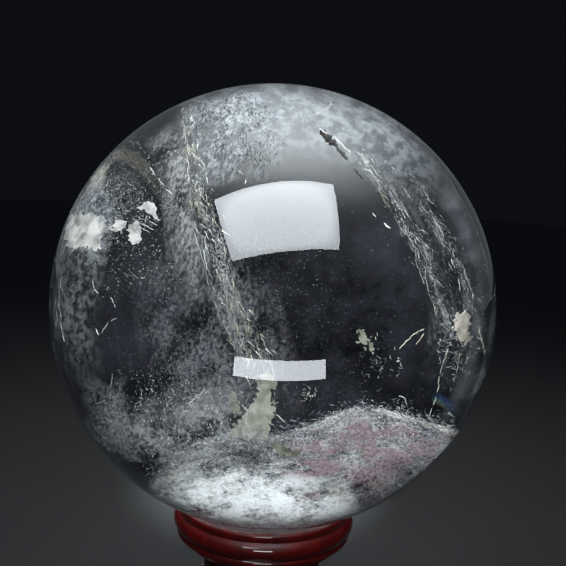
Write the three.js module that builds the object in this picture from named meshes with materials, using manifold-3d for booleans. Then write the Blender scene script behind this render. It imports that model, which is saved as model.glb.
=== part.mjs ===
// A polished ball of natural rock crystal on a small turned and lacquered wooden stand.
// Millimetres, +Z up, origin on the table under the centre of the stand.
//
// The stand is a cup and a foot, turned apart and drawn together by one wood screw. A loose
// felt ring lies on a ledge inside the cup and carries the ball, and a felt disc under the foot
// covers the screw.
import * as THREE from 'three';
import { mergeVertices } from 'three/addons/utils/BufferGeometryUtils.js';
import Module from 'manifold-3d';

// ---------------------------------------------------------------- driving dimensions
// The ball.
const BALL_RADIUS = 40;
const BALL_CENTRE_Z = 62; // above the table

// The felt disc under the foot.
const DISC_RADIUS = 19;
const DISC_THICKNESS = 0.8;

// The foot, from its spreading base up to the shoulder that the cup stands on.
const FOOT_RADIUS = 20;
const FOOT_EDGE_Z = 4; // the top of the foot's rounded edge
const STEP_RADIUS = 18.2; // the small step above that edge
const STEP_Z = 4.6;
const WAIST_RADIUS = 9.4; // the narrowest place of the stand
const WAIST_Z = 10.6;
const BEAD_RADIUS = 10.9; // the ring round the stand above the waist
const SHOULDER_Z = 13;
const RECESS_RADIUS = 11; // the hollow under the foot
const RECESS_DEPTH = 2.6;

// The spigot of the foot, glued in the socket of the cup.
const SPIGOT_RADIUS = 5;
const SPIGOT_LENGTH = 4.2;
const SPIGOT_CHAMFER = 0.4;
const GLUE_GAP = 0.2;

// The outside of the cup, from its neck up to its rim.
const NECK_RADIUS = 9.7;
const BOWL_RADIUS = 15.4; // where the bowl meets the fillet
const FILLET_RADIUS = 16.2; // the crisp ring under the band
const FILLET_HEIGHT = 1;
const FILLET_Z = 18.9;
const BAND_RADIUS = 16.8; // the widest place of the cup
const BAND_Z = 21.2;
const GROOVE_RADIUS = 15.85; // the fine groove between band and rim
const GROOVE_Z = 22.9;
const RIM_RADIUS = 15.3; // the crest of the rim
const RIM_Z = 24.45;

// The inside of the cup, and the felt ring that lies on its ledge.
const LEDGE_Z = 22.2;
const CUP_FLOOR_Z = 20.2;
const RING_INNER_RADIUS = 10;
const RING_OUTER_RADIUS = 13.6;
const RING_PLAY = 0.3; // all round, so that the ring is loose
const BALL_GAP = 0.1; // between the ball and the felt

// The screw.
const SCREW_CORE_RADIUS = 1.45;
const THREAD_RADIUS = 1.75;
const THREAD_ROOT_RADIUS = 1.1;
const THREAD_PITCH = 1.3;
const THREAD_FROM_Z = 9;
const SCREW_HEAD_RADIUS = 3.2;
const SCREW_TIP_Z = 18.3;
const SCREW_HOLE_RADIUS = 1.95;
const SCREW_HOLE_TOP_Z = 18.8;
const CROSS_DEPTH = 1.1; // the cross recess for the screwdriver
const CROSS_WIDTH = 0.9;
const CROSS_LENGTH = 3.4;

// How finely the round shapes are cut.
const BALL_SEGMENTS = 48;
const TURNED_SEGMENTS = 44;
const SCREW_SEGMENTS = 20;
const CURVE_STEPS = 5;

// ---------------------------------------------------------------- materials
const ROCK_CRYSTAL = new THREE.MeshStandardMaterial({
  name: 'rock_crystal',
  color: 0xdfe4e8,
  roughness: 0.03,
  metalness: 0,
  transparent: true,
  opacity: 0.35,
});
const RED_LACQUER = new THREE.MeshStandardMaterial({
  name: 'red_lacquer',
  color: 0x5a0b08,
  roughness: 0.15,
  metalness: 0,
});
const DARK_FELT = new THREE.MeshStandardMaterial({
  name: 'dark_felt',
  color: 0x1d1512,
  roughness: 0.95,
  metalness: 0,
});
const STEEL = new THREE.MeshStandardMaterial({
  name: 'steel',
  color: 0xb9bcc0,
  roughness: 0.35,
  metalness: 1,
});

// ---------------------------------------------------------------- helpers
const wasm = await Module();
wasm.setup();

// One named piece. Each has a material of its own.
function piece(name, geometry, material) {
  const mesh = new THREE.Mesh(geometry, material.clone());
  mesh.name = name;
  return mesh;
}

// Carries a path on along a curve whose middle is at one point and whose end is at another.
function curveThrough(path, [middleRadius, middleZ], [endRadius, endZ]) {
  const start = path.currentPoint;
  path.quadraticCurveTo(
    2 * middleRadius - (start.x + endRadius) / 2,
    2 * middleZ - (start.y + endZ) / 2,
    endRadius,
    endZ,
  );
}

// Turns an outline of (radius, height) points about the vertical axis.
function turned(outline, segments = TURNED_SEGMENTS) {
  const geometry = new THREE.LatheGeometry(outline, segments);
  geometry.rotateX(Math.PI / 2);
  return geometry;
}

// The height of the underside of a sphere about the ball's centre, at a radius from the axis.
function undersideOfSphere(sphereRadius, radius) {
  return BALL_CENTRE_Z - Math.sqrt(sphereRadius ** 2 - radius ** 2);
}

function solidFrom(geometry) {
  const bare = geometry.clone();
  bare.deleteAttribute('normal');
  bare.deleteAttribute('uv');
  const merged = mergeVertices(bare);
  return new wasm.Manifold(
    new wasm.Mesh({
      numProp: 3,
      vertProperties: new Float32Array(merged.attributes.position.array),
      triVerts: new Uint32Array(merged.index.array),
    }),
  );
}

function geometryFrom(solid) {
  const cut = solid.getMesh();
  const geometry = new THREE.BufferGeometry();
  geometry.setAttribute('position', new THREE.BufferAttribute(cut.vertProperties, cut.numProp));
  geometry.setIndex(new THREE.BufferAttribute(cut.triVerts, 1));
  geometry.computeVertexNormals();
  return geometry;
}

// ---------------------------------------------------------------- the ball
// One solid piece of clear quartz, ground and polished to a sphere.
function crystalBall() {
  const geometry = new THREE.SphereGeometry(BALL_RADIUS, BALL_SEGMENTS, BALL_SEGMENTS / 2);
  geometry.rotateX(Math.PI / 2);
  const ball = piece('crystal_ball', geometry, ROCK_CRYSTAL);
  ball.position.z = BALL_CENTRE_Z;
  return ball;
}

// ---------------------------------------------------------------- the seat
// A loose felt ring with a flat underside, its top pressed to the curve of the ball.
function seatRing() {
  const topSteps = 4;
  const outline = [
    new THREE.Vector2(RING_INNER_RADIUS, LEDGE_Z),
    new THREE.Vector2(RING_OUTER_RADIUS, LEDGE_Z),
  ];
  for (let step = 0; step <= topSteps; step++) {
    const radius = THREE.MathUtils.lerp(RING_OUTER_RADIUS, RING_INNER_RADIUS, step / topSteps);
    outline.push(new THREE.Vector2(radius, undersideOfSphere(BALL_RADIUS + BALL_GAP, radius)));
  }
  outline.push(outline[0].clone());
  return piece('seat_ring', turned(outline), DARK_FELT);
}

// ---------------------------------------------------------------- the cup
// The outline runs from the screw's hole and the socket out to the neck, up the bowl, over the
// fillet, the band and the rim, and in over the ledge to the hollow under the ball.
function standCup() {
  const socketRadius = SPIGOT_RADIUS + GLUE_GAP;
  const socketTop = SHOULDER_Z + SPIGOT_LENGTH + GLUE_GAP;
  const filletBottom = FILLET_Z - FILLET_HEIGHT / 2;
  const filletTop = FILLET_Z + FILLET_HEIGHT / 2;
  const seatWall = RING_OUTER_RADIUS + RING_PLAY;
  const ledgeInner = RING_INNER_RADIUS - RING_PLAY;

  const path = new THREE.Path();
  path.moveTo(0, SCREW_HOLE_TOP_Z);
  path.lineTo(SCREW_HOLE_RADIUS, SCREW_HOLE_TOP_Z);
  path.lineTo(SCREW_HOLE_RADIUS, socketTop);
  path.lineTo(socketRadius, socketTop);
  path.lineTo(socketRadius, SHOULDER_Z);
  path.lineTo(NECK_RADIUS, SHOULDER_Z);
  curveThrough(path, [NECK_RADIUS + 0.4, 14.1], [11.4, 15]);
  curveThrough(path, [14, 16.6], [BOWL_RADIUS, filletBottom]);
  path.lineTo(FILLET_RADIUS - 0.2, filletBottom);
  curveThrough(path, [FILLET_RADIUS, FILLET_Z], [FILLET_RADIUS - 0.2, filletTop]);
  curveThrough(path, [BAND_RADIUS, BAND_Z], [GROOVE_RADIUS + 0.1, GROOVE_Z - 0.1]);
  path.lineTo(GROOVE_RADIUS, GROOVE_Z);
  curveThrough(path, [GROOVE_RADIUS + 0.1, 24.1], [RIM_RADIUS, RIM_Z]);
  curveThrough(path, [14.4, 24.25], [seatWall, 23.65]);
  path.lineTo(seatWall, LEDGE_Z);
  path.lineTo(ledgeInner, LEDGE_Z);
  path.lineTo(ledgeInner - 0.5, LEDGE_Z - 0.7);
  curveThrough(path, [4.9, 20.5], [0, CUP_FLOOR_Z]);
  return piece('stand_cup', turned(path.getPoints(CURVE_STEPS)), RED_LACQUER);
}

// ---------------------------------------------------------------- the foot
// The outline runs from the top of the spigot down the screw's hole to its countersink, out
// under the foot, up round its edge and the waist to the bead and the shoulder, and back up
// the spigot.
function standFoot() {
  const recessTop = DISC_THICKNESS + RECESS_DEPTH;
  const spigotTop = SHOULDER_Z + SPIGOT_LENGTH;
  const countersinkRadius = SCREW_HEAD_RADIUS + GLUE_GAP;
  const countersinkTop = recessTop + countersinkRadius - SCREW_HOLE_RADIUS;
  const edgeRounding = 0.6;
  const beadFoot = WAIST_RADIUS + 0.4;

  const path = new THREE.Path();
  path.moveTo(SCREW_HOLE_RADIUS, spigotTop);
  path.lineTo(SCREW_HOLE_RADIUS, countersinkTop);
  path.lineTo(countersinkRadius, recessTop);
  path.lineTo(RECESS_RADIUS, recessTop);
  path.lineTo(RECESS_RADIUS, DISC_THICKNESS);
  path.lineTo(FOOT_RADIUS - edgeRounding, DISC_THICKNESS);
  path.lineTo(FOOT_RADIUS - 0.1, DISC_THICKNESS + edgeRounding);
  curveThrough(path, [FOOT_RADIUS, 3], [STEP_RADIUS + 0.4, FOOT_EDGE_Z]);
  path.lineTo(STEP_RADIUS, STEP_Z);
  curveThrough(path, [15.6, 6.1], [12.4, 7.2]);
  curveThrough(path, [10.2, 8.6], [WAIST_RADIUS, WAIST_Z]);
  path.lineTo(beadFoot, WAIST_Z + 0.3);
  curveThrough(path, [BEAD_RADIUS, (WAIST_Z + SHOULDER_Z) / 2], [beadFoot, SHOULDER_Z - 0.3]);
  path.lineTo(WAIST_RADIUS, SHOULDER_Z);
  path.lineTo(SPIGOT_RADIUS, SHOULDER_Z);
  path.lineTo(SPIGOT_RADIUS, spigotTop - SPIGOT_CHAMFER);
  path.lineTo(SPIGOT_RADIUS - SPIGOT_CHAMFER, spigotTop);
  path.lineTo(SCREW_HOLE_RADIUS, spigotTop);
  return piece('stand_foot', turned(path.getPoints(CURVE_STEPS)), RED_LACQUER);
}

// ---------------------------------------------------------------- the screw
// A countersunk wood screw with a cross recess, its head in the foot and its thread in the cup.
function joiningScrew() {
  const headZ = DISC_THICKNESS + RECESS_DEPTH;
  const shankZ = headZ + SCREW_HEAD_RADIUS - SCREW_CORE_RADIUS;

  const outline = [
    new THREE.Vector2(0, headZ),
    new THREE.Vector2(SCREW_HEAD_RADIUS, headZ),
    new THREE.Vector2(SCREW_CORE_RADIUS, shankZ),
    new THREE.Vector2(SCREW_CORE_RADIUS, THREAD_FROM_Z),
  ];
  for (let z = THREAD_FROM_Z; z < SCREW_TIP_Z - 2 * THREAD_PITCH; z += THREAD_PITCH) {
    outline.push(new THREE.Vector2(THREAD_RADIUS, z + THREAD_PITCH / 2));
    outline.push(new THREE.Vector2(THREAD_ROOT_RADIUS, z + THREAD_PITCH));
  }
  outline.push(new THREE.Vector2(0, SCREW_TIP_Z));

  let screw = solidFrom(turned(outline, SCREW_SEGMENTS));
  for (const turn of [0, Math.PI / 2]) {
    const arm = new THREE.BoxGeometry(CROSS_LENGTH, CROSS_WIDTH, 2 * CROSS_DEPTH);
    arm.rotateZ(turn);
    arm.translate(0, 0, headZ);
    screw = screw.subtract(solidFrom(arm));
  }
  return piece('joining_screw', geometryFrom(screw), STEEL);
}

// ---------------------------------------------------------------- the felt under the foot
function baseFelt() {
  const outline = [
    new THREE.Vector2(0, 0),
    new THREE.Vector2(DISC_RADIUS, 0),
    new THREE.Vector2(DISC_RADIUS, DISC_THICKNESS),
    new THREE.Vector2(0, DISC_THICKNESS),
  ];
  return piece('base_felt', turned(outline), DARK_FELT);
}

// ---------------------------------------------------------------- the assembly
const crystalBallOnStand = new THREE.Group();
crystalBallOnStand.add(
  crystalBall(),
  seatRing(),
  standCup(),
  standFoot(),
  joiningScrew(),
  baseFelt(),
);

export default crystalBallOnStand;
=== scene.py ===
import math
import random
from contextlib import contextmanager

import bmesh
import bpy
import numpy as np
from mathutils import Matrix, Vector, noise


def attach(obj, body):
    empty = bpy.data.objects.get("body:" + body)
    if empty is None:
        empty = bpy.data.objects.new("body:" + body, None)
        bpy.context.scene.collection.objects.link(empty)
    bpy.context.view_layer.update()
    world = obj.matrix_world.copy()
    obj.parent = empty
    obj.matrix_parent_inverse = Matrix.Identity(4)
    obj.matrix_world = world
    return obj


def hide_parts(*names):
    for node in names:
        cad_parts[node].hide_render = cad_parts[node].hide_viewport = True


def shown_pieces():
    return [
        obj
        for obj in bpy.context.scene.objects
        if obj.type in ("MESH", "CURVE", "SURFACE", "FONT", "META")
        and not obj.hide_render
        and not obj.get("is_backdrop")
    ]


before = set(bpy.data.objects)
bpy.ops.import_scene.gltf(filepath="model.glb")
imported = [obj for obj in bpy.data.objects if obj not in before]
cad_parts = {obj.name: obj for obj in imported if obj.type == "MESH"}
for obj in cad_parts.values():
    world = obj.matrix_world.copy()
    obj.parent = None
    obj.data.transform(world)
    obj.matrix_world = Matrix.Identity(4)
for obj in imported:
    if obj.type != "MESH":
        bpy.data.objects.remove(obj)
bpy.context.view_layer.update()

MM = 0.001


# ------------------------------------------------------------------ the felt under the foot
# A disc of dark pressed felt, punched out and glued under the foot. It hides the screw and
# keeps the lacquer off the table. Its cut edge is hairy.

class Socket:
    """What a node gives out. Sums on it add Math nodes, so that a pattern reads as a formula."""

    def __init__(self, graph, output):
        self.graph = graph
        self.output = output

    def math(self, operation, *values):
        return self.graph.node("ShaderNodeMath", {"operation": operation}, dict(enumerate(values)))

    def __add__(self, other):
        return self.math("ADD", self, other)

    def __sub__(self, other):
        return self.math("SUBTRACT", self, other)

    def __rsub__(self, other):
        return self.math("SUBTRACT", other, self)

    def __mul__(self, other):
        return self.math("MULTIPLY", self, other)

    def __truediv__(self, other):
        return self.math("DIVIDE", self, other)

    def __rtruediv__(self, other):
        return self.math("DIVIDE", other, self)

    def __gt__(self, other):
        return self.math("GREATER_THAN", self, other)

    __radd__ = __add__
    __rmul__ = __mul__

    def also(self, name):
        """Another output of the same node."""
        return Socket(self.graph, self.output.node.outputs[name])


class Graph:
    """A node tree, of a material or of Geometry Nodes, that is built up node by node."""

    def __init__(self, tree):
        self.tree = tree

    def feed(self, entry, value):
        """Links a socket to an input, or sets the input to a plain value."""
        if isinstance(value, Socket):
            self.tree.links.new(value.output, entry)
        else:
            entry.default_value = value

    def node(self, kind, settings=(), inputs=(), output=0):
        """Adds a node: its settings first, then its inputs by name or place."""
        node = self.tree.nodes.new(kind)
        for name, value in dict(settings).items():
            if name == "stops":
                self.set_stops(node.color_ramp, value)
            else:
                setattr(node, name, value)
        for key, value in dict(inputs).items():
            entries = [entry for entry in node.inputs if entry.enabled]
            entry = entries[key] if isinstance(key, int) else next(e for e in entries if e.name == key)
            self.feed(entry, value)
        given = [result for result in node.outputs if result.enabled]
        found = given[output] if isinstance(output, int) else next(g for g in given if g.name == output)
        return Socket(self, found)

    def step(self, amount, low, high):
        """0 below low, 1 above high, and smooth between."""
        return self.node(
            "ShaderNodeMapRange",
            {"interpolation_type": "SMOOTHSTEP"},
            {"Value": amount, "From Min": low, "From Max": high},
        )

    def scaled(self, vector, amount):
        return self.node("ShaderNodeVectorMath", {"operation": "SCALE"}, {"Vector": vector, "Scale": amount})

    @staticmethod
    def set_stops(ramp, stops):
        """Gives a colour ramp its (place, colour) stops."""
        while len(ramp.elements) < len(stops):
            ramp.elements.new(1)
        for element, (place, colour) in zip(ramp.elements, stops):
            element.position = place
            element.color = (*colour, 1)


class Finish(Graph):
    """A material with one Principled shader. What is even all over is given by socket name."""

    def __init__(self, name, even):
        self.material = bpy.data.materials.new(name)
        self.material.use_nodes = True
        super().__init__(self.material.node_tree)
        self.shader = self.tree.nodes["Principled BSDF"]
        for entry, value in even.items():
            self.shader.inputs[entry].default_value = value
        self.place = self.node("ShaderNodeTexCoord", output="Object")

    def paint(self, entry, value):
        """Feeds an input of the shader."""
        self.feed(self.shader.inputs[entry], value)

    def stretched(self, scale, turn=(0, 0, 0)):
        """Object coordinates, scaled and turned."""
        return self.node("ShaderNodeMapping", {}, {"Vector": self.place, "Scale": scale, "Rotation": turn})

    def noise(self, scale, detail=2, roughness=0.5, vector=None):
        return self.node(
            "ShaderNodeTexNoise",
            {},
            {"Vector": vector or self.place, "Scale": scale, "Detail": detail, "Roughness": roughness},
        )

    def blend(self, amount, low, high):
        """From one colour to another as amount goes from 0 to 1."""
        return self.node("ShaderNodeMix", {"data_type": "RGBA"}, {"Factor": amount, "A": low, "B": high})

    def ramp(self, amount, *stops):
        return self.node("ShaderNodeValToRGB", {"stops": stops}, {"Fac": amount})

    def bump(self, height, strength, distance):
        self.paint(
            "Normal",
            self.node("ShaderNodeBump", {}, {"Height": height, "Strength": strength, "Distance": distance}),
        )


def mesh_of(name, places, faces):
    mesh = bpy.data.meshes.new(name)
    mesh.from_pydata([tuple(place) for place in places], [], faces)
    return mesh


@contextmanager
def opened(mesh):
    """Opens a mesh for work on its faces, and writes it back."""
    work = bmesh.new()
    work.from_mesh(mesh)
    yield work
    work.to_mesh(mesh)
    work.free()


def turned(name, outline, segments=160, sharp=35):
    """A closed piece turned about the upright axis from (radius, height) points in millimetres.

    The outline goes so that the piece lies on its left, and ends on the axis or closes on itself."""
    closed = outline[0] == outline[-1]
    points = outline[:-1] if closed else outline
    vertices, rings = [], []
    for radius, height in points:
        if radius == 0:
            rings.append([len(vertices)] * segments)
            vertices.append((0, 0, height * MM))
            continue
        rings.append(list(range(len(vertices), len(vertices) + segments)))
        for step in range(segments):
            turn = 2 * math.pi * step / segments
            vertices.append((radius * math.cos(turn) * MM, radius * math.sin(turn) * MM, height * MM))
    faces = []
    for low, high in zip(rings, rings[1:] + rings[:1] if closed else rings[1:]):
        for step in range(segments):
            after = (step + 1) % segments
            corners = [low[step], low[after], high[after], high[step]]
            faces.append(list(dict.fromkeys(corners)))
    mesh = mesh_of(name, vertices, [face for face in faces if len(face) > 2])
    mesh.shade_smooth()
    mesh.set_sharp_from_angle(angle=math.radians(sharp))
    return shown(name, mesh)


def shown(name, mesh):
    """Puts a mesh in the scene as a piece of its own."""
    piece = bpy.data.objects.new(name, mesh)
    bpy.context.scene.collection.objects.link(piece)
    return piece


def fitted(piece, material, body, slot, *nodes):
    """Gives a piece its finish, sets it on its body, and lets it stand for its CAD nodes."""
    piece.data.materials.clear()
    piece.data.materials.append(material)
    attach(piece, body)
    if nodes:
        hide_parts(*nodes)


def grown(name, base, tree, material, values):
    """What a Geometry Nodes tree grows on a base mesh, as a plain mesh of its own."""
    growing = shown(name, base)
    modifier = growing.modifiers.new("grow", "NODES")
    modifier.node_group = tree
    for entry in tree.interface.items_tree:
        if entry.in_out == "INPUT" and entry.name in values:
            modifier[entry.identifier] = values[entry.name]
        if entry.in_out == "INPUT" and entry.name == "Finish":
            modifier[entry.identifier] = material
    ready = growing.evaluated_get(bpy.context.evaluated_depsgraph_get())
    result = bpy.data.meshes.new_from_object(ready)
    growing.modifiers.remove(modifier)
    growing.data = result
    return growing


class Growth(Graph):
    """A Geometry Nodes tree that sets small spikes on a base mesh. Its inputs have plain names."""

    def __init__(self, name, entries):
        kinds = {int: "NodeSocketInt", float: "NodeSocketFloat"}
        tree = bpy.data.node_groups.new(name, "GeometryNodeTree")
        tree.interface.new_socket("Base", in_out="INPUT", socket_type="NodeSocketGeometry")
        for entry, value in entries.items():
            made = tree.interface.new_socket(entry, in_out="INPUT", socket_type=kinds[type(value)])
            made.default_value = value
        tree.interface.new_socket("Finish", in_out="INPUT", socket_type="NodeSocketMaterial")
        tree.interface.new_socket("Result", in_out="OUTPUT", socket_type="NodeSocketGeometry")
        super().__init__(tree)
        self.given = {s.name: Socket(self, s) for s in tree.nodes.new("NodeGroupInput").outputs if s.name}

    def scattered(self, density):
        """Random points on the base."""
        return self.node(
            "GeometryNodeDistributePointsOnFaces",
            {},
            {"Mesh": self.given["Base"], "Density": density, "Seed": self.given["Seed"]},
        )

    def drawn(self, low, high, seed):
        """A random number or vector for each point."""
        kind = "FLOAT_VECTOR" if isinstance(low, tuple) else "FLOAT"
        return self.node(
            "FunctionNodeRandomValue", {"data_type": kind}, {"Min": low, "Max": high, "Seed": seed}
        )

    def turned_by(self, rotation, turn):
        return self.node("FunctionNodeRotateRotation", {"rotation_space": "LOCAL"}, {0: rotation, 1: turn})

    def grow(self, points, width, rotation, size):
        """Sets a three-sided spike on each point, and ends the tree: real faces, in their material."""
        spike = self.node(
            "GeometryNodeMeshCone",
            {"fill_type": "NGON"},
            {"Vertices": 3, "Radius Top": 0.0, "Radius Bottom": width, "Depth": 1.0},
        )
        spikes = self.node(
            "GeometryNodeInstanceOnPoints",
            {},
            {"Points": points, "Instance": spike, "Rotation": rotation, "Scale": size},
        )
        real = self.node("GeometryNodeRealizeInstances", {}, {"Geometry": spikes})
        done = self.node("GeometryNodeSetMaterial", {}, {"Geometry": real, "Material": self.given["Finish"]})
        self.feed(self.tree.nodes.new("NodeGroupOutput").inputs["Result"], done)
        return self.tree


def hair_tree():
    """Short stiff hairs that stand on a felt surface at random slants."""
    graph = Growth("felt hairs", {"Hairs per m2": 1.0, "Length": 1.0, "Width": 1.0, "Seed": 1})
    given = graph.given
    points = graph.scattered(given["Hairs per m2"])
    slant = graph.drawn((-1.2, -1.2, 0), (1.2, 1.2, 6), given["Seed"])
    slanting = graph.turned_by(points.also("Rotation"), slant)
    size = graph.node("ShaderNodeCombineXYZ", {}, {0: given["Width"], 1: given["Width"], 2: given["Length"]})
    return graph.grow(points, 0.5, slanting, size)


def felt(name, dark, light):
    """Pressed wool: matted fibres, a little fuzz that catches the light, no shine."""
    finish = Finish(name, {"Roughness": 0.95, "Sheen Weight": 0.35, "Sheen Roughness": 0.5})
    matted = finish.noise(2600, 3, 0.7)
    cloudy = finish.noise(240, 2)
    finish.paint("Base Color", finish.blend(matted * 0.6 + cloudy * 0.4, dark, light))
    finish.bump(matted, 0.8, 0.00012)
    return finish.material


FELT_RADIUS = 19.0
FELT_THICKNESS = 0.8
CUT_EDGE = 0.15
CUT_EDGE_IN = 0.12
FACES_DOWN = -0.3
DARK_WOOL = (0.012, 0.008, 0.007, 1)
LIGHT_WOOL = (0.075, 0.052, 0.046, 1)
HAIRS = hair_tree()

base_felt_finish = felt("base felt", DARK_WOOL, LIGHT_WOOL)
base_felt = turned(
    "base_felt_disc",
    [
        (0, 0),
        (FELT_RADIUS - CUT_EDGE_IN, 0),
        (FELT_RADIUS, CUT_EDGE),
        (FELT_RADIUS, FELT_THICKNESS - CUT_EDGE),
        (FELT_RADIUS - CUT_EDGE_IN, FELT_THICKNESS),
        (0, FELT_THICKNESS),
    ],
    sharp=60,
)
hairy_sides = base_felt.data.copy()
with opened(hairy_sides) as work:
    underside = [face for face in work.faces if face.normal.z < FACES_DOWN]
    bmesh.ops.delete(work, geom=underside, context="FACES")
base_hairs = grown(
    "base_felt_hairs",
    hairy_sides,
    HAIRS,
    base_felt_finish,
    {"Hairs per m2": 2.4e6, "Length": 0.28 * MM, "Width": 0.025 * MM, "Seed": 3},
)
fitted(base_felt, base_felt_finish, "stand", "base_felt", "base_felt")
fitted(base_hairs, base_felt_finish, "stand", "base_felt")


# ------------------------------------------------------------------ the foot of the stand
# The waist and foot are turned from one blank of close-grained wood, stained red and sprayed
# with several coats of clear gloss lacquer, which softens every corner a little.

def curve_through(outline, middle, end, steps=14):
    """Carries an outline on along a curve through its middle point to its end."""
    start = outline[-1]
    for step in range(1, steps + 1):
        t = step / steps
        outline.append(
            tuple(
                s * (1 - t) * (1 - 2 * t) + m * 4 * t * (1 - t) + e * t * (2 * t - 1)
                for s, m, e in zip(start, middle, end)
            )
        )


def softened(outline, radius=0.1, corner=25):
    """Rounds the corners of an outline that turn by more than this many degrees, as lacquer does."""
    soft = [outline[0]]
    for before, here, after in zip(outline, outline[1:], outline[2:]):
        back, on = Vector(before) - Vector(here), Vector(after) - Vector(here)
        cut = min(radius, back.length * 0.45, on.length * 0.45)
        if math.degrees(math.pi - back.angle(on)) < corner:
            soft.append(here)
            continue
        first, last = Vector(here) + back.normalized() * cut, Vector(here) + on.normalized() * cut
        for t in (0, 0.25, 0.5, 0.75, 1):
            bend = first * (1 - t) ** 2 + Vector(here) * 2 * t * (1 - t) + last * t**2
            soft.append(tuple(bend))
    return soft + [outline[-1]]


def lacquered_wood(name, seed):
    """Red-stained wood under clear lacquer. The grain runs up the piece, and barely shows."""
    finish = Finish(
        name,
        {
            "Roughness": 0.45,
            "Coat Weight": 1.0,
            "Coat Roughness": 0.03,
            "Coat IOR": 1.5,
            "Specular IOR Level": 0.1,
        },
    )
    upward = finish.stretched((1, 1, 0.09), (0, 0.05, seed))
    fibres = finish.noise(900, 4, 0.65, upward)
    figure = finish.noise(140, 3, 0.55, upward)
    stain = finish.noise(55, 2)
    depth = fibres * 0.35 + figure * 0.45 + stain * 0.2
    finish.paint(
        "Base Color",
        finish.ramp(
            depth,
            (0.30, (0.006, 0.0003, 0.0003)),
            (0.48, (0.028, 0.0006, 0.0005)),
            (0.62, (0.056, 0.0014, 0.0008)),
            (0.75, (0.095, 0.0045, 0.0020)),
        ),
    )
    settled = finish.noise(420, 2)
    finish.bump(settled, 0.12, 0.00006)
    return finish.material


SCREW_HOLE_RADIUS = 1.95
COUNTERSINK_RADIUS = 3.4
COUNTERSINK_TOP = 4.85
SHOULDER_HEIGHT = 13.0
SPIGOT_TOP = 17.2
SPIGOT_RADIUS = 5.0
SPIGOT_BEVEL = 0.4
RECESS_TOP = 3.4
RECESS_RADIUS = 11.0
FOOT_RADIUS = 20.0
WAIST_RADIUS = 9.4
WAIST_HEIGHT = 10.6

foot_outline = [
    (SCREW_HOLE_RADIUS, SPIGOT_TOP),
    (SCREW_HOLE_RADIUS, COUNTERSINK_TOP),
    (COUNTERSINK_RADIUS, RECESS_TOP),
    (RECESS_RADIUS, RECESS_TOP),
    (RECESS_RADIUS, FELT_THICKNESS),
    (FOOT_RADIUS - 0.6, FELT_THICKNESS),
    (FOOT_RADIUS - 0.1, 1.4),
]
curve_through(foot_outline, (FOOT_RADIUS, 3), (18.6, 4))
foot_outline.append((18.2, 4.6))
curve_through(foot_outline, (15.6, 6.1), (12.4, 7.2))
curve_through(foot_outline, (10.2, 8.6), (WAIST_RADIUS, WAIST_HEIGHT))
foot_outline.append((WAIST_RADIUS + 0.4, WAIST_HEIGHT + 0.3))
curve_through(foot_outline, (10.9, 11.8), (WAIST_RADIUS + 0.4, SHOULDER_HEIGHT - 0.3))
foot_outline += [
    (WAIST_RADIUS, SHOULDER_HEIGHT),
    (SPIGOT_RADIUS, SHOULDER_HEIGHT),
    (SPIGOT_RADIUS, SPIGOT_TOP - SPIGOT_BEVEL),
    (SPIGOT_RADIUS - SPIGOT_BEVEL, SPIGOT_TOP),
    (SCREW_HOLE_RADIUS, SPIGOT_TOP),
]
foot = turned("turned_foot", softened(foot_outline))
fitted(foot, lacquered_wood("foot lacquer", 0.4), "stand", "red_lacquer", "stand_foot")


# ------------------------------------------------------------------ the screw
# One countersunk wood screw of zinc-plated steel draws foot and cup together. It is driven
# from below, before the felt goes on.

def plated_steel():
    finish = Finish("screw steel", {"Metallic": 1.0})
    around = finish.stretched((1, 1, 8))
    drawn = finish.noise(1500, 2, 0.6, around)
    dulled = finish.noise(350, 3)
    finish.paint("Base Color", finish.blend(dulled, (0.50, 0.50, 0.49, 1), (0.80, 0.80, 0.78, 1)))
    finish.paint("Roughness", drawn * 0.25 + 0.18)
    finish.bump(drawn, 0.2, 0.00003)
    return finish.material


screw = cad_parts["joining_screw"].data
screw.materials.clear()
screw.materials.append(plated_steel())


# ------------------------------------------------------------------ the cup of the stand
# A bowl turned from the same wood as the foot, with a crisp fillet, a full rounded band, and a
# fine groove under its rim. Inside is the ledge that the felt ring lies on.

RIM_HEIGHT = 24.45
GROOVE_RADIUS = 15.85
GROOVE_HEIGHT = 22.9
FILLET_RADIUS = 16.2
FILLET_HEIGHT = 18.9
BAND_RADIUS = 16.8
BAND_HEIGHT = 21.2
SOCKET_RADIUS = 5.2
SOCKET_TOP = 17.4
SCREW_HOLE_TOP = 18.8
LEDGE_HEIGHT = 22.2
LEDGE_INNER = 9.7
SEAT_WALL = 13.9
CUP_FLOOR = 20.2

cup_outline = [
    (0, SCREW_HOLE_TOP),
    (SCREW_HOLE_RADIUS, SCREW_HOLE_TOP),
    (SCREW_HOLE_RADIUS, SOCKET_TOP),
    (SOCKET_RADIUS, SOCKET_TOP),
    (SOCKET_RADIUS, SHOULDER_HEIGHT),
    (9.7, SHOULDER_HEIGHT),
]
curve_through(cup_outline, (10.1, 14.1), (11.4, 15))
curve_through(cup_outline, (14, 16.6), (15.4, FILLET_HEIGHT - 0.5))
cup_outline.append((FILLET_RADIUS - 0.2, FILLET_HEIGHT - 0.5))
curve_through(cup_outline, (FILLET_RADIUS, FILLET_HEIGHT), (FILLET_RADIUS - 0.2, FILLET_HEIGHT + 0.5))
curve_through(cup_outline, (BAND_RADIUS, BAND_HEIGHT), (GROOVE_RADIUS + 0.1, GROOVE_HEIGHT - 0.1))
cup_outline.append((GROOVE_RADIUS, GROOVE_HEIGHT))
curve_through(cup_outline, (GROOVE_RADIUS + 0.1, 24.1), (15.3, RIM_HEIGHT))
curve_through(cup_outline, (14.4, 24.25), (SEAT_WALL, 23.65))
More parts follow.
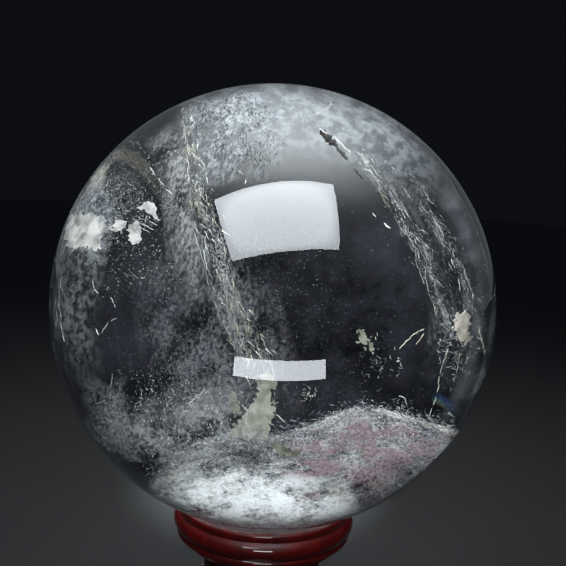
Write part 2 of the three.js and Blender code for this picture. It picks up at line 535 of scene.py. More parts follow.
cup_outline += [
    (SEAT_WALL, LEDGE_HEIGHT),
    (LEDGE_INNER, LEDGE_HEIGHT),
    (LEDGE_INNER - 0.5, LEDGE_HEIGHT - 0.7),
]
curve_through(cup_outline, (4.9, 20.5), (0, CUP_FLOOR))
cup = turned("turned_cup", softened(cup_outline))
fitted(cup, lacquered_wood("cup lacquer", 1.7), "stand", "red_lacquer", "stand_cup")


# ------------------------------------------------------------------ the felt seat
# A loose ring of the same felt on the ledge of the cup. The weight of the stone has pressed
# its top to the curve of the ball.

BALL_RADIUS = 40.0
BALL_CENTRE = Vector((0, 0, 62.0))
RING_INNER = 10.0
RING_OUTER = 13.6
PRESSED_GAP = 0.1
PRESSED_STEPS = 12

ring_outline = [(RING_INNER, LEDGE_HEIGHT), (RING_OUTER, LEDGE_HEIGHT)]
for step in range(PRESSED_STEPS + 1):
    radius = RING_OUTER + (RING_INNER - RING_OUTER) * step / PRESSED_STEPS
    drop = math.sqrt((BALL_RADIUS + PRESSED_GAP) ** 2 - radius**2)
    ring_outline.append((radius, BALL_CENTRE.z - drop))
ring_outline.append(ring_outline[0])
seat = turned("felt_seat", ring_outline, sharp=60)
fitted(seat, felt("seat felt", DARK_WOOL, LIGHT_WOOL), "seat", "seat_felt", "seat_ring")


# ------------------------------------------------------------------ the ball
# One piece of natural rock crystal, ground round and polished until it is as clear as water
# between its flaws.

BALL_SEGMENTS = 288
BALL_RINGS = BALL_SEGMENTS // 2
QUARTZ_INDEX = 1.544

ball_outline = []
for step in range(BALL_RINGS + 1):
    slope = math.pi * (step / BALL_RINGS - 0.5)
    radius = 0 if step in (0, BALL_RINGS) else BALL_RADIUS * math.cos(slope)
    ball_outline.append((radius, BALL_CENTRE.z + BALL_RADIUS * math.sin(slope)))
ball = turned("polished_ball", ball_outline, BALL_SEGMENTS, sharp=180)


def rock_crystal():
    """Clear quartz. Lamps shine through its surface as they are, so its flaws are lit."""
    finish = Finish(
        "rock crystal",
        {
            "Base Color": (0.985, 0.99, 0.995, 1),
            "Roughness": 0.0,
            "IOR": QUARTZ_INDEX,
            "Transmission Weight": 1.0,
        },
    )
    polish = finish.noise(70, 2, 0.5) * 0.7 + finish.noise(900, 2, 0.5) * 0.05
    finish.bump(polish, 0.02, 0.0004)
    clear = finish.node("ShaderNodeBsdfTransparent", {}, {"Color": (0.93, 0.94, 0.95, 1)})
    to_lamp = finish.node("ShaderNodeLightPath", output="Is Shadow Ray")
    glass = Socket(finish, finish.shader.outputs[0])
    both = finish.node("ShaderNodeMixShader", {}, {0: to_lamp, 1: glass, 2: clear})
    finish.feed(finish.tree.nodes["Material Output"].inputs["Surface"], both)
    return finish.material


fitted(ball, rock_crystal(), "ball", "rock_crystal", "crystal_ball")


# ------------------------------------------------------------------ the veils in the stone
# Cracks that healed while the crystal grew. Each is a thin curved sheet of countless flat
# flakes and bubbles, white where it faces the light and nearly gone where it doesn't.

FRONT_RISE = math.radians(14.5)
FRONT_ROLL = math.radians(2.6)
EYE_DISTANCE = 242.0
TOWARD_EYE = Vector((0, -math.cos(FRONT_RISE), math.sin(FRONT_RISE)))
UNROLLED_UP = Vector((0, math.sin(FRONT_RISE), math.cos(FRONT_RISE)))
EYE = BALL_CENTRE + TOWARD_EYE * EYE_DISTANCE
FACE_RIGHT = Vector((1, 0, 0)) * math.cos(FRONT_ROLL) + UNROLLED_UP * math.sin(FRONT_ROLL)
FACE_UP = UNROLLED_UP * math.cos(FRONT_ROLL) - Vector((1, 0, 0)) * math.sin(FRONT_ROLL)
FACE_RADIUS = BALL_RADIUS / math.sqrt(1 - (BALL_RADIUS / EYE_DISTANCE) ** 2)


def seen_at(right, up, depth):
    """The place in the stone that is seen from the front at (right, up), in radii of the ball's
    disc, and that lies at this share of the way from the front surface to the back one.

    A line of sight bends as it enters the stone, so the place is found along the bent line."""
    target = BALL_CENTRE + (FACE_RIGHT * right + FACE_UP * up) * FACE_RADIUS
    sight = (target - EYE).normalized()
    middle = sight.dot(BALL_CENTRE - EYE)
    aside = (BALL_CENTRE - EYE).length_squared - middle**2
    entry = EYE + sight * (middle - math.sqrt(max(BALL_RADIUS**2 - aside, 0)))
    outward = (entry - BALL_CENTRE).normalized()
    slant = -sight.dot(outward)
    inside = math.sqrt(1 - (1 - slant**2) / QUARTZ_INDEX**2)
    bent = sight / QUARTZ_INDEX + outward * (slant / QUARTZ_INDEX - inside)
    return (entry + bent * (2 * BALL_RADIUS * inside * depth)) * MM


def at_depth(depth, *points):
    """A row of (right, up) points that all lie at one depth."""
    return [(right, up, depth) for right, up in points]


def between(a, b, c, d, t):
    """A place on a smooth line through four points, t of the way from the second to the third."""
    return (2 * b + (c - a) * t + (2 * a - 5 * b + 4 * c - d) * t**2 + (3 * b - a - 3 * c + d) * t**3) / 2


def along(points, share):
    """A smooth line through points, at a share of the way."""
    span = share * (len(points) - 1)
    place = min(int(span), len(points) - 2)
    t = span - place
    around = (points[min(max(place + k, 0), len(points) - 1)] for k in (-1, 0, 1, 2))
    return tuple(between(*four, t) for four in zip(*around))


def fade(share, start, end):
    """0 at the two ends of a sheet and 1 inside, over these widths. A width of 0 is a clean edge."""
    low = min(share / start, 1) if start else 1
    high = min((1 - share) / end, 1) if end else 1
    return low * high


WIDEST_REACH = 0.992
LEAST_DEPTH = 0.004
MOST_DEPTH = 0.996


def sheet(name, rows, soft_across, soft_along, steps):
    """A curved sheet through rows of (right, up, depth) points. A flake lies along its row.

    "run" is the way along the row, "lay" the place on the sheet, and "body" its fade at the edges."""
    across, along_steps = steps
    lines = [[along(row, j / along_steps) for row in rows] for j in range(along_steps + 1)]
    grid = []
    for i in range(across + 1):
        for line in lines:
            right, up, depth = along(line, i / across)
            limit = WIDEST_REACH / max(math.hypot(right, up), WIDEST_REACH)
            grid.append(seen_at(right * limit, up * limit, min(max(depth, LEAST_DEPTH), MOST_DEPTH)))
    faces = []
    width = along_steps + 1
    for i in range(across):
        for j in range(along_steps):
            corner = i * width + j
            faces.append((corner, corner + 1, corner + width + 1, corner + width))
    mesh = mesh_of(name, grid, faces)
    row_length = (grid[along_steps] - grid[0]).length
    sheet_width = (grid[-1] - grid[along_steps]).length
    runs, lays, bodies = [], [], []
    for i in range(across + 1):
        for j in range(width):
            ahead, behind = min(j + 1, along_steps), max(j - 1, 0)
            runs.extend((grid[i * width + ahead] - grid[i * width + behind]).normalized())
            lays.extend((j / along_steps * row_length, i / across * sheet_width, 0))
            bodies.append(fade(i / across, *soft_across) * fade(j / along_steps, *soft_along))
    mesh.attributes.new("run", "FLOAT_VECTOR", "POINT").data.foreach_set("vector", runs)
    mesh.attributes.new("lay", "FLOAT_VECTOR", "POINT").data.foreach_set("vector", lays)
    mesh.attributes.new("body", "FLOAT", "POINT").data.foreach_set("value", bodies)
    return mesh


def flake_tree():
    """Flat three-cornered flakes scattered over a sheet, in clumps that stretch along its rows."""
    graph = Growth(
        "veil flakes",
        {
            "Flakes per m2": 1.0,
            "Length": 1.0,
            "Width": 1.0,
            "Clump": 1.0,
            "Clump Stretch": 1.0,
            "Bare": 0.5,
            "Edge": 0.1,
            "Patchy": 0.8,
            "Disorder": 0.3,
            "Scatter": 0.0,
            "Seed": 1,
        },
    )
    given = graph.given
    points = graph.scattered(given["Flakes per m2"])
    run, lay, body = (
        graph.node("GeometryNodeInputNamedAttribute", {"data_type": kind}, {"Name": name})
        for name, kind in (("run", "FLOAT_VECTOR"), ("lay", "FLOAT_VECTOR"), ("body", "FLOAT"))
    )

    def clouds(place, seed, detail, roughness):
        return graph.node(
            "ShaderNodeTexNoise",
            {"noise_dimensions": "4D"},
            {"Vector": place, "W": seed, "Scale": 1.0, "Detail": detail, "Roughness": roughness},
        )

    across = 1 / given["Clump"]
    squeeze = graph.node("ShaderNodeCombineXYZ", {}, {0: across / given["Clump Stretch"], 1: across, 2: 0.0})
    place = graph.node("ShaderNodeVectorMath", {"operation": "MULTIPLY"}, {0: lay, 1: squeeze})
    clumps = clouds(place, given["Seed"] * 3.7, 5.0, 0.62)
    crowd = graph.step(clumps, given["Bare"] - given["Edge"], given["Bare"] + given["Edge"])
    regions = clouds(graph.scaled(place, 0.24), given["Seed"] * 1.3, 2.0, 0.5)
    crowd = crowd * (1 - given["Patchy"] * (1 - graph.step(regions, 0.40, 0.60)))
    luck = graph.drawn(0.0, 1.0, given["Seed"] + 1)
    kept = graph.node(
        "GeometryNodeDeleteGeometry",
        {"domain": "POINT"},
        {"Geometry": points, "Selection": luck > crowd * body},
    )
    spread = graph.drawn((-1, -1, -1), (1, 1, 1), given["Seed"] + 2)
    aside = graph.scaled(spread, given["Scatter"])
    strewn = graph.node("GeometryNodeSetPosition", {}, {"Geometry": kept, "Offset": aside})

    lying = graph.node("FunctionNodeAlignRotationToVector", {"axis": "X"}, {"Vector": run})
    facing = graph.node(
        "FunctionNodeAlignRotationToVector",
        {"axis": "Z", "pivot_axis": "X"},
        {"Rotation": lying, "Vector": points.also("Normal")},
    )
    lie = graph.turned_by(facing, graph.scaled(spread, given["Disorder"]))
    growth = graph.drawn(0.15, 1.0, given["Seed"] + 4)
    grown_size = growth * growth
    size = graph.node(
        "ShaderNodeCombineXYZ",
        {},
        {
            0: given["Length"] * grown_size,
            1: given["Width"] * growth,
            2: given["Width"] * growth * 0.25,
        },
    )
    return graph.grow(strewn, 0.6, lie, size)


def veil_finish(name, dull, bright, tint=None):
    """The skin of a healed crack: cream to white, a little silky."""
    finish = Finish(name, {"Roughness": 0.45, "Specular IOR Level": 0.6})
    cloudy = finish.noise(190, 4, 0.6)
    colour = finish.blend(finish.step(cloudy, 0.35, 0.65), dull, bright)
    if tint:
        stained = finish.step(finish.noise(330, 3, 0.6), 0.5, 0.62)
        colour = finish.blend(stained, colour, tint)
    finish.paint("Base Color", colour)
    return finish.material


GREY_WHITE = (0.52, 0.54, 0.54, 1)
BRIGHT_WHITE = (0.80, 0.80, 0.77, 1)
WARM_CREAM = (0.68, 0.66, 0.49, 1)
RUST_PINK = (0.17, 0.035, 0.045, 1)
HAZE_GREY = (0.07, 0.075, 0.085, 1)
HAZE_PALE = (0.17, 0.18, 0.19, 1)
# Painted shade: the colours of veil flakes that lie in shadow.
SHADED_FLAKE_DARK = (0.012, 0.011, 0.010, 1)
SHADED_FLAKE_GREY = (0.05, 0.055, 0.06, 1)
FLAKES = flake_tree()
BAKE_MAP = "OFBake"


def mapped(piece):
    """Lays the piece's faces on a map by where they are seen from the front."""
    mesh = piece.data
    places = np.empty(len(mesh.vertices) * 3)
    mesh.vertices.foreach_get("co", places)
    from_centre = places.reshape(-1, 3) - np.array(BALL_CENTRE * MM)
    flat = np.stack([from_centre @ np.array(FACE_RIGHT), from_centre @ np.array(FACE_UP)], 1)
    flat = flat / (2 * BALL_RADIUS * MM) + 0.5
    corners = np.empty(len(mesh.loops), int)
    mesh.loops.foreach_get("vertex_index", corners)
    for old in list(mesh.uv_layers):
        mesh.uv_layers.remove(old)
    mesh.uv_layers.new(name=BAKE_MAP).uv.foreach_set("vector", flat[corners].ravel())


flaws = []


def in_the_stone(piece, material):
    """Fixes a flaw in the ball, so that it turns and lifts with it."""
    mapped(piece)
    fitted(piece, material, "ball", "crystal_veil")
    flaws.append(piece)
    return piece


def veil(name, material, rows, soft_across, soft_along, steps=(70, 70), **values):
    """One veil: flakes over a sheet, riding with the ball. Sizes are in millimetres."""
    base = sheet(name.replace("_", " "), rows, soft_across, soft_along, steps)
    lengths = ("Length", "Width", "Clump", "Scatter")
    settings = {
        entry.replace("_", " "): value * MM if entry in lengths else value
        for entry, value in values.items()
    }
    settings["Flakes per m2"] = settings.pop("Per mm2") * 1e6
    piece = grown(name, base, FLAKES, material, settings)
    for leftover in ("run", "lay", "body"):
        if leftover in piece.data.attributes:
            piece.data.attributes.remove(piece.data.attributes[leftover])
    return in_the_stone(piece, material)


pale_veil = veil_finish("pale veil", GREY_WHITE, BRIGHT_WHITE)
cream_veil = veil_finish("cream veil", WARM_CREAM, BRIGHT_WHITE)
stained_veil = veil_finish("stained veil", GREY_WHITE, BRIGHT_WHITE, RUST_PINK)
faint_veil = veil_finish("faint veil", HAZE_GREY, HAZE_PALE)
# Nearly black flakes, as painted shade for veil flakes in shadow.
shaded_flake_finish = veil_finish("smoky veil", SHADED_FLAKE_DARK, SHADED_FLAKE_GREY)

# The curtain left of the middle hangs from the top down past the centre.
LEFT_CURTAIN = [
    [(-0.41, 0.88, 0.30), (-0.40, 0.66, 0.32), (-0.38, 0.45, 0.34), (-0.32, 0.22, 0.38),
     (-0.26, 0.00, 0.42), (-0.18, -0.18, 0.46), (-0.13, -0.36, 0.50)],
    [(-0.35, 0.90, 0.37), (-0.32, 0.68, 0.39), (-0.27, 0.46, 0.41), (-0.20, 0.24, 0.45),
     (-0.13, 0.02, 0.48), (-0.04, -0.16, 0.50), (0.02, -0.34, 0.54)],
]
veil(
    "left_curtain", pale_veil, LEFT_CURTAIN, (0.35, 0.35), (0.06, 0.2),
    Per_mm2=110.0, Length=0.42, Width=0.05, Clump=1.3, Clump_Stretch=4.5, Bare=0.54, Edge=0.05,
    Disorder=1.2, Scatter=0.6, Seed=11, Patchy=0.9,
)
veil(
    "left_curtain_haze", faint_veil, LEFT_CURTAIN, (0.2, 0.2), (0.02, 0.2),
    Per_mm2=70.0, Length=0.6, Width=0.12, Clump=1.6, Clump_Stretch=3.0, Bare=0.44, Edge=0.12,
    Disorder=0.6, Scatter=0.7, Seed=12,
)
veil(
    "left_curtain_sparks", cream_veil, LEFT_CURTAIN, (0.2, 0.2), (0.02, 0.1),
    Per_mm2=7.0, Length=1.9, Width=0.15, Clump=1.5, Clump_Stretch=2.0, Bare=0.48, Edge=0.10,
    Disorder=0.6, Scatter=1.0, Seed=13,
)
veil(
    "left_curtain_spray", cream_veil,
    [
        [(-0.44, 0.50, 0.40), (-0.40, 0.25, 0.42), (-0.36, 0.00, 0.44), (-0.32, -0.20, 0.46)],
        [(-0.28, 0.42, 0.40), (-0.20, 0.18, 0.42), (-0.14, -0.06, 0.44), (-0.08, -0.26, 0.46)],
        [(-0.14, 0.20, 0.46), (0.00, 0.08, 0.48), (0.08, -0.06, 0.50), (0.16, -0.20, 0.52)],
    ],
    (0.3, 0.4), (0.3, 0.2),
    Per_mm2=60.0, Length=0.18, Width=0.04, Clump=1.0, Clump_Stretch=1.6, Bare=0.54, Edge=0.06,
    Disorder=2.5, Scatter=1.4, Seed=14,
)

# Two curtains fall side by side down the right of the stone.
RIGHT_CURTAIN = [
    [(0.30, 0.70, 0.44), (0.43, 0.56, 0.46), (0.53, 0.42, 0.48), (0.62, 0.25, 0.50),
     (0.68, 0.08, 0.52), (0.73, -0.10, 0.54)],
    [(0.42, 0.72, 0.52), (0.53, 0.57, 0.54), (0.61, 0.43, 0.56), (0.70, 0.26, 0.58),
     (0.76, 0.09, 0.60), (0.81, -0.10, 0.62)],
]
OUTER_CURTAIN = [
    [(0.46, 0.66, 0.56), (0.60, 0.50, 0.58), (0.72, 0.32, 0.60), (0.81, 0.14, 0.62), (0.87, -0.04, 0.64)],
    [(0.56, 0.66, 0.64), (0.69, 0.51, 0.66), (0.79, 0.33, 0.68), (0.87, 0.14, 0.70), (0.92, -0.05, 0.72)],
]
veil(
    "right_curtain", pale_veil, RIGHT_CURTAIN, (0.3, 0.3), (0.08, 0.05),
    Per_mm2=200.0, Length=0.55, Width=0.05, Clump=0.55, Clump_Stretch=9.0, Bare=0.58, Edge=0.05,
    Disorder=0.6, Scatter=0.25, Seed=21,
)
veil(
    "right_curtain_sparks", cream_veil, RIGHT_CURTAIN, (0.2, 0.2), (0.02, 0.02),
    Per_mm2=3.5, Length=1.4, Width=0.12, Clump=1.5, Clump_Stretch=2.0, Bare=0.48, Edge=0.10,
    Disorder=0.5, Scatter=0.6, Seed=22,
)
veil(
    "outer_curtain", pale_veil, OUTER_CURTAIN, (0.4, 0.4), (0.2, 0.05),
    Per_mm2=240.0, Length=0.6, Width=0.05, Clump=0.5, Clump_Stretch=12.0, Bare=0.57, Edge=0.05,
    Disorder=0.4, Scatter=0.25, Seed=23,
)
veil(
    "right_curtain_haze", faint_veil,
    [RIGHT_CURTAIN[0][:5], OUTER_CURTAIN[1]], (0.3, 0.1), (0.1, 0.1),
    Per_mm2=24.0, Length=0.5, Width=0.10, Clump=1.6, Clump_Stretch=4.0, Bare=0.47, Edge=0.10,
    Disorder=0.6, Scatter=0.9, Seed=24,
)

# The large veil low in the stone lies almost level. Its far edge is crisp, and its near side
# runs out to the surface. Iron has stained it in places.
LOWER_VEIL = [
    [(-0.54, -0.72, 0.58), (-0.34, -0.60, 0.62), (-0.17, -0.56, 0.64), (0.00, -0.57, 0.66),
     (0.16, -0.53, 0.68), (0.32, -0.465, 0.70), (0.42, -0.445, 0.70), (0.57, -0.475, 0.68),
     (0.71, -0.52, 0.66), (0.82, -0.55, 0.60)],
    [(-0.56, -0.78, 0.45), (-0.36, -0.75, 0.46), (-0.17, -0.74, 0.46), (0.02, -0.75, 0.46),
     (0.19, -0.72, 0.46), (0.34, -0.68, 0.46), (0.47, -0.65, 0.46), (0.59, -0.64, 0.46),
     (0.70, -0.62, 0.46), (0.79, -0.60, 0.46)],
    at_depth(0.30, (-0.54, -0.84), (-0.38, -0.92), (-0.20, -0.97), (0.00, -0.985), (0.18, -0.97),
             (0.34, -0.93), (0.48, -0.865), (0.60, -0.79), (0.69, -0.71), (0.77, -0.63)),
]
veil(
    "lower_veil", pale_veil, LOWER_VEIL, (0.0, 0.0), (0.08, 0.04), (80, 120),
    Per_mm2=110.0, Length=0.34, Width=0.05, Clump=1.0, Clump_Stretch=2.2, Bare=0.51, Edge=0.08, Patchy=0.6,
    Disorder=1.0, Scatter=0.4, Seed=31,
)
veil(
    "lower_veil_stains", stained_veil, LOWER_VEIL, (0.05, 0.1), (0.3, 0.05), (80, 120),
    Per_mm2=45.0, Length=0.40, Width=0.09, Clump=2.2, Clump_Stretch=1.6, Bare=0.51, Edge=0.06,
    Disorder=1.2, Scatter=0.8, Seed=32,
)
veil(
    "lower_veil_haze", faint_veil, LOWER_VEIL, (0.02, 0.0), (0.05, 0.05), (80, 120),
    Per_mm2=26.0, Length=0.7, Width=0.20, Clump=3.0, Clump_Stretch=1.4, Bare=0.40, Edge=0.14,
    Disorder=0.8, Scatter=1.4, Seed=33,
)
veil(
    "lower_veil_edge", cream_veil,
    [
        LOWER_VEIL[0][1:],
        [(right, up - 0.035, depth - 0.03) for right, up, depth in LOWER_VEIL[0][1:]],
    ],
    (0.1, 0.6), (0.1, 0.0), (20, 160),
    Per_mm2=260.0, Length=0.6, Width=0.06, Clump=0.7, Clump_Stretch=5.0, Bare=0.50, Edge=0.07,
    Disorder=0.5, Scatter=0.15, Seed=34, Patchy=0.5,
)

# Under the crown hangs a mottled veil. Part of it is painted shade: nearly black flakes stand for veil
# flakes that lie in shadow against the bright crown.
CROWN_VEIL = [
    at_depth(0.50, (-0.38, 0.90), (-0.37, 0.78), (-0.35, 0.65), (-0.33, 0.52)),
    at_depth(0.46, (-0.20, 0.955), (-0.19, 0.82), (-0.18, 0.68), (-0.17, 0.54)),
    at_depth(0.42, (0.04, 0.975), (0.05, 0.83), (0.06, 0.70), (0.07, 0.56)),
]
veil(
    "crown_veil", pale_veil, CROWN_VEIL, (0.05, 0.5), (0.0, 0.5),
    Per_mm2=16.0, Length=0.5, Width=0.06, Clump=1.2, Clump_Stretch=2.2, Bare=0.50, Edge=0.12,
    Disorder=0.9, Scatter=0.7, Seed=41,
)
# Painted shade: dark flakes where the crown veil lies in shadow.
veil(
    "crown_painted_shade", shaded_flake_finish, CROWN_VEIL, (0.05, 0.3), (0.1, 0.3),
    Per_mm2=60.0, Length=0.6, Width=0.12, Clump=1.3, Clump_Stretch=2.5, Bare=0.50, Edge=0.08,
    Disorder=0.5, Scatter=0.5, Seed=42,
)

# High on the left a bow of cloudy skin stands over a patch of specks.
LEFT_BOW = [
    at_depth(0.30, (-0.85, 0.50), (-0.80, 0.61), (-0.74, 0.68), (-0.68, 0.71), (-0.63, 0.70),
             (-0.57, 0.66), (-0.52, 0.60), (-0.44, 0.49)),
    at_depth(0.40, (-0.76, 0.50), (-0.74, 0.60), (-0.715, 0.64), (-0.67, 0.65), (-0.64, 0.63),
             (-0.60, 0.60), (-0.55, 0.53), (-0.50, 0.44)),
]
veil(
    "left_bow", cream_veil, LEFT_BOW, (0.1, 0.3), (0.2, 0.2),
    Per_mm2=40.0, Length=0.5, Width=0.05, Clump=0.9, Clump_Stretch=1.6, Bare=0.50, Edge=0.10,
    Disorder=1.0, Scatter=0.3, Seed=51,
)
veil(
    "left_specks", pale_veil,
    [
        at_depth(0.40, (-0.66, 0.80), (-0.55, 0.76), (-0.42, 0.74)),
        [(-0.78, 0.56, 0.38), (-0.58, 0.54, 0.40), (-0.38, 0.50, 0.40)],
        [(-0.84, 0.30, 0.36), (-0.60, 0.28, 0.40), (-0.32, 0.24, 0.42)],
        [(-0.82, 0.02, 0.36), (-0.58, 0.04, 0.40), (-0.28, 0.06, 0.42)],
    ],
    (0.15, 0.4), (0.2, 0.2),
    Per_mm2=90.0, Length=0.40, Width=0.06, Clump=1.0, Clump_Stretch=2.0, Bare=0.50, Edge=0.07,
    Disorder=1.6, Scatter=0.8, Seed=52, Patchy=0.7,
)
veil(
    "left_limb_haze", faint_veil,
    [
        at_depth(0.30, (-0.78, 0.60), (-0.86, 0.48), (-0.92, 0.35), (-0.96, 0.18), (-0.975, 0.02)),
        at_depth(0.35, (-0.60, 0.48), (-0.68, 0.38), (-0.73, 0.28), (-0.78, 0.14), (-0.80, 0.00)),
    ],
    (0.0, 0.5), (0.2, 0.4),
    Per_mm2=30.0, Length=0.6, Width=0.14, Clump=2.2, Clump_Stretch=1.4, Bare=0.42, Edge=0.12,
    Disorder=1.0, Scatter=0.6, Seed=53,
)

# A fan of short flakes low on the left.
veil(
    "low_left_fan", pale_veil,
    [
        at_depth(0.40, (-0.65, -0.33), (-0.68, -0.45), (-0.71, -0.56), (-0.74, -0.64)),
        at_depth(0.34, (-0.69, -0.36), (-0.76, -0.46), (-0.82, -0.54), (-0.81, -0.57)),
    ],
    (0.25, 0.5), (0.2, 0.1),
    Per_mm2=26.0, Length=0.5, Width=0.06, Clump=0.8, Clump_Stretch=2.5, Bare=0.48, Edge=0.12,
    Disorder=0.8, Scatter=0.3, Seed=61,
)

# Low on the left, broken flakes lie in every direction.
veil(
    "low_left_flakes", pale_veil,
    [
        [(-0.66, -0.25, 0.40), (-0.45, -0.26, 0.44), (-0.22, -0.28, 0.46)],
        [(-0.62, -0.46, 0.40), (-0.44, -0.46, 0.44), (-0.22, -0.46, 0.46)],
        [(-0.56, -0.68, 0.40), (-0.40, -0.66, 0.44), (-0.24, -0.60, 0.46)],
    ],
    (0.3, 0.1), (0.2, 0.1),
    Per_mm2=100.0, Length=0.34, Width=0.06, Clump=1.1, Clump_Stretch=1.6, Bare=0.52, Edge=0.06,
    Disorder=2.0, Scatter=1.0, Seed=62, Patchy=0.6,
)

# Fine dust hangs through the stone, thickest left of the middle.
DUSTY_PART = [
    [(-0.62, 0.34, 0.30), (-0.64, 0.05, 0.34), (-0.60, -0.25, 0.38), (-0.50, -0.62, 0.42)],
    [(-0.30, 0.34, 0.46), (-0.30, 0.05, 0.48), (-0.28, -0.25, 0.50), (-0.24, -0.62, 0.52)],
    [(0.02, 0.22, 0.56), (0.06, 0.00, 0.58), (0.12, -0.22, 0.60), (0.18, -0.48, 0.62)],
]
veil(
    "bright_dust", pale_veil, DUSTY_PART, (0.25, 0.3), (0.2, 0.1),
    Per_mm2=90.0, Length=0.15, Width=0.045, Clump=1.2, Clump_Stretch=1.5, Bare=0.53, Edge=0.05,
    Disorder=3.0, Scatter=1.2, Seed=71, Patchy=0.9,
)
veil(
    "faint_dust", faint_veil,
    [
        [(-0.90, 0.35, 0.35), (-0.92, 0.00, 0.40), (-0.85, -0.35, 0.45), (-0.62, -0.72, 0.50)],
        [(-0.10, 0.90, 0.50), (-0.10, 0.30, 0.55), (-0.05, -0.30, 0.60), (0.0, -0.80, 0.60)],
        at_depth(0.60, (0.70, 0.55), (0.90, 0.10), (0.88, -0.25), (0.65, -0.66)),
    ],
    (0.1, 0.1), (0.1, 0.1),
    Per_mm2=20.0, Length=0.26, Width=0.09, Clump=3.0, Clump_Stretch=1.6, Bare=0.48, Edge=0.12, Patchy=0.7,
    Disorder=3.0, Scatter=5.0, Seed=72,
)


# ------------------------------------------------------------------ the milky films
# Between the flakes lie films of gas and liquid too fine to make out. They show as a soft milk
# in the stone, thin enough to see through.

MILK_WHITE = (0.66, 0.68, 0.67, 1)
MILK_GREY = (0.13, 0.14, 0.16, 1)
MILK_CREAM = (0.42, 0.39, 0.31, 1)
MILK_PINK = (0.075, 0.022, 0.030, 1)
MILK_ROSE = (0.20, 0.13, 0.15, 1)
MILK_MAUVE = (0.085, 0.08, 0.105, 1)
FILM_THICKNESS = 0.04


def milk(name, dull, bright, grain, clear_below, full_above, most, stretch=(1, 1, 1)):
    """A see-through film. A cloud pattern says where it is thick, and at most how thick."""
    finish = Finish(name, {"Roughness": 0.7, "Specular IOR Level": 0.2})
    drawn = finish.stretched(stretch)
    clouds = finish.noise(grain, 7, 0.66, drawn)
    fine = finish.noise(grain * 9, 3, 0.7, drawn)
    body = finish.node("ShaderNodeAttribute", {"attribute_name": "body"}, {}, "Fac")
    finish.paint("Base Color", finish.blend(finish.step(fine, 0.4, 0.6), dull, bright))
    finish.paint("Alpha", finish.step(clouds * 0.72 + fine * 0.28, clear_below, full_above) * body * most)
    return finish.material


def film(name, material, rows, soft_across=(0.3, 0.3), soft_along=(0.2, 0.2), steps=(40, 60)):
    """One film: a sheet through rows of points, as thick as foil, riding with the ball."""
    mesh = sheet(name, rows, soft_across, soft_along, steps)
    for unused in ("run", "lay"):
        mesh.attributes.remove(mesh.attributes[unused])
    with opened(mesh) as work:
        bmesh.ops.solidify(work, geom=work.faces[:], thickness=FILM_THICKNESS * MM)
        bmesh.ops.recalc_face_normals(work, faces=work.faces)
    return in_the_stone(shown(name, mesh), material)


film(
    "lower_film",
    milk("lower milk", MILK_CREAM, MILK_WHITE, 230, 0.43, 0.60, 0.40),
    [[(right, up, depth + 0.02) for right, up, depth in row] for row in LOWER_VEIL],
    (0.04, 0.0), (0.10, 0.06), (50, 90),
)
film(
    "lower_pink_film",
    milk("stained milk", MILK_PINK, MILK_ROSE, 230, 0.45, 0.59, 0.52),
    [[(right, up - 0.015, depth - 0.05) for right, up, depth in row[3:]] for row in LOWER_VEIL],
    (0.08, 0.5), (0.12, 0.15), (40, 60),
)
film(
    "bottom_film",
    milk("bottom milk", MILK_WHITE, (0.74, 0.75, 0.73, 1), 190, 0.38, 0.60, 0.56),
    [
        at_depth(0.42, (-0.46, -0.74), (-0.28, -0.72), (-0.08, -0.71), (0.14, -0.73), (0.36, -0.78)),
        [(-0.46, -0.87, 0.16), (-0.25, -0.96, 0.14), (-0.05, -0.99, 0.12), (0.18, -0.975, 0.12),
         (0.40, -0.91, 0.14)],
    ],
    (0.5, 0.0), (0.3, 0.3),
)
film(
    "left_curtain_film",
    milk("curtain milk", MILK_GREY, MILK_CREAM, 300, 0.49, 0.58, 0.60, (1, 1, 0.22)),
    LEFT_CURTAIN, (0.45, 0.45), (0.03, 0.25),
)
film(
    "right_curtain_film",
    milk("right milk", MILK_GREY, MILK_CREAM, 380, 0.52, 0.62, 0.22, (1, 1, 0.2)),
    [RIGHT_CURTAIN[0][:5], OUTER_CURTAIN[1]], (0.3, 0.3), (0.15, 0.1),
)
film(
    "left_bow_film",
    milk("bow milk", MILK_CREAM, (0.60, 0.58, 0.52, 1), 240, 0.38, 0.54, 0.72),
    LEFT_BOW, (0.25, 0.3), (0.3, 0.3),
)
film(
    "upper_left_film",
    milk("upper left milk", HAZE_PALE, (0.52, 0.51, 0.48, 1), 260, 0.40, 0.58, 0.55, (1, 1, 0.45)),
    [
        at_depth(0.42, (-0.60, 0.76), (-0.52, 0.60), (-0.50, 0.42), (-0.48, 0.22), (-0.44, 0.02)),
        at_depth(0.40, (-0.40, 0.86), (-0.37, 0.62), (-0.34, 0.42), (-0.28, 0.20), (-0.22, 0.00)),
    ],
    (0.6, 0.4), (0.2, 0.4),
)
film(
    "left_limb_film",
    milk("limb milk", MILK_GREY, MILK_WHITE, 120, 0.36, 0.62, 0.40),
    [
        at_depth(0.30, (-0.80, 0.58), (-0.88, 0.45), (-0.94, 0.30), (-0.975, 0.10), (-0.975, -0.12),
                 (-0.92, -0.34)),
        at_depth(0.35, (-0.66, 0.46), (-0.70, 0.34), (-0.73, 0.22), (-0.76, 0.06), (-0.76, -0.12),
                 (-0.74, -0.30)),
    ],
    (0.0, 0.6), (0.2, 0.6),
)
film(
    "right_limb_film",
    milk("right limb milk", MILK_GREY, (0.3, 0.31, 0.33, 1), 34, 0.20, 0.70, 0.22),
    [
        at_depth(0.60, (0.78, 0.58), (0.90, 0.36), (0.965, 0.12), (0.97, -0.12), (0.92, -0.35),
                 (0.80, -0.57)),
        at_depth(0.65, (0.70, 0.50), (0.79, 0.32), (0.86, 0.10), (0.87, -0.10), (0.82, -0.32),
                 (0.72, -0.52)),
    ],
    (0.0, 0.7), (0.1, 0.1),
)
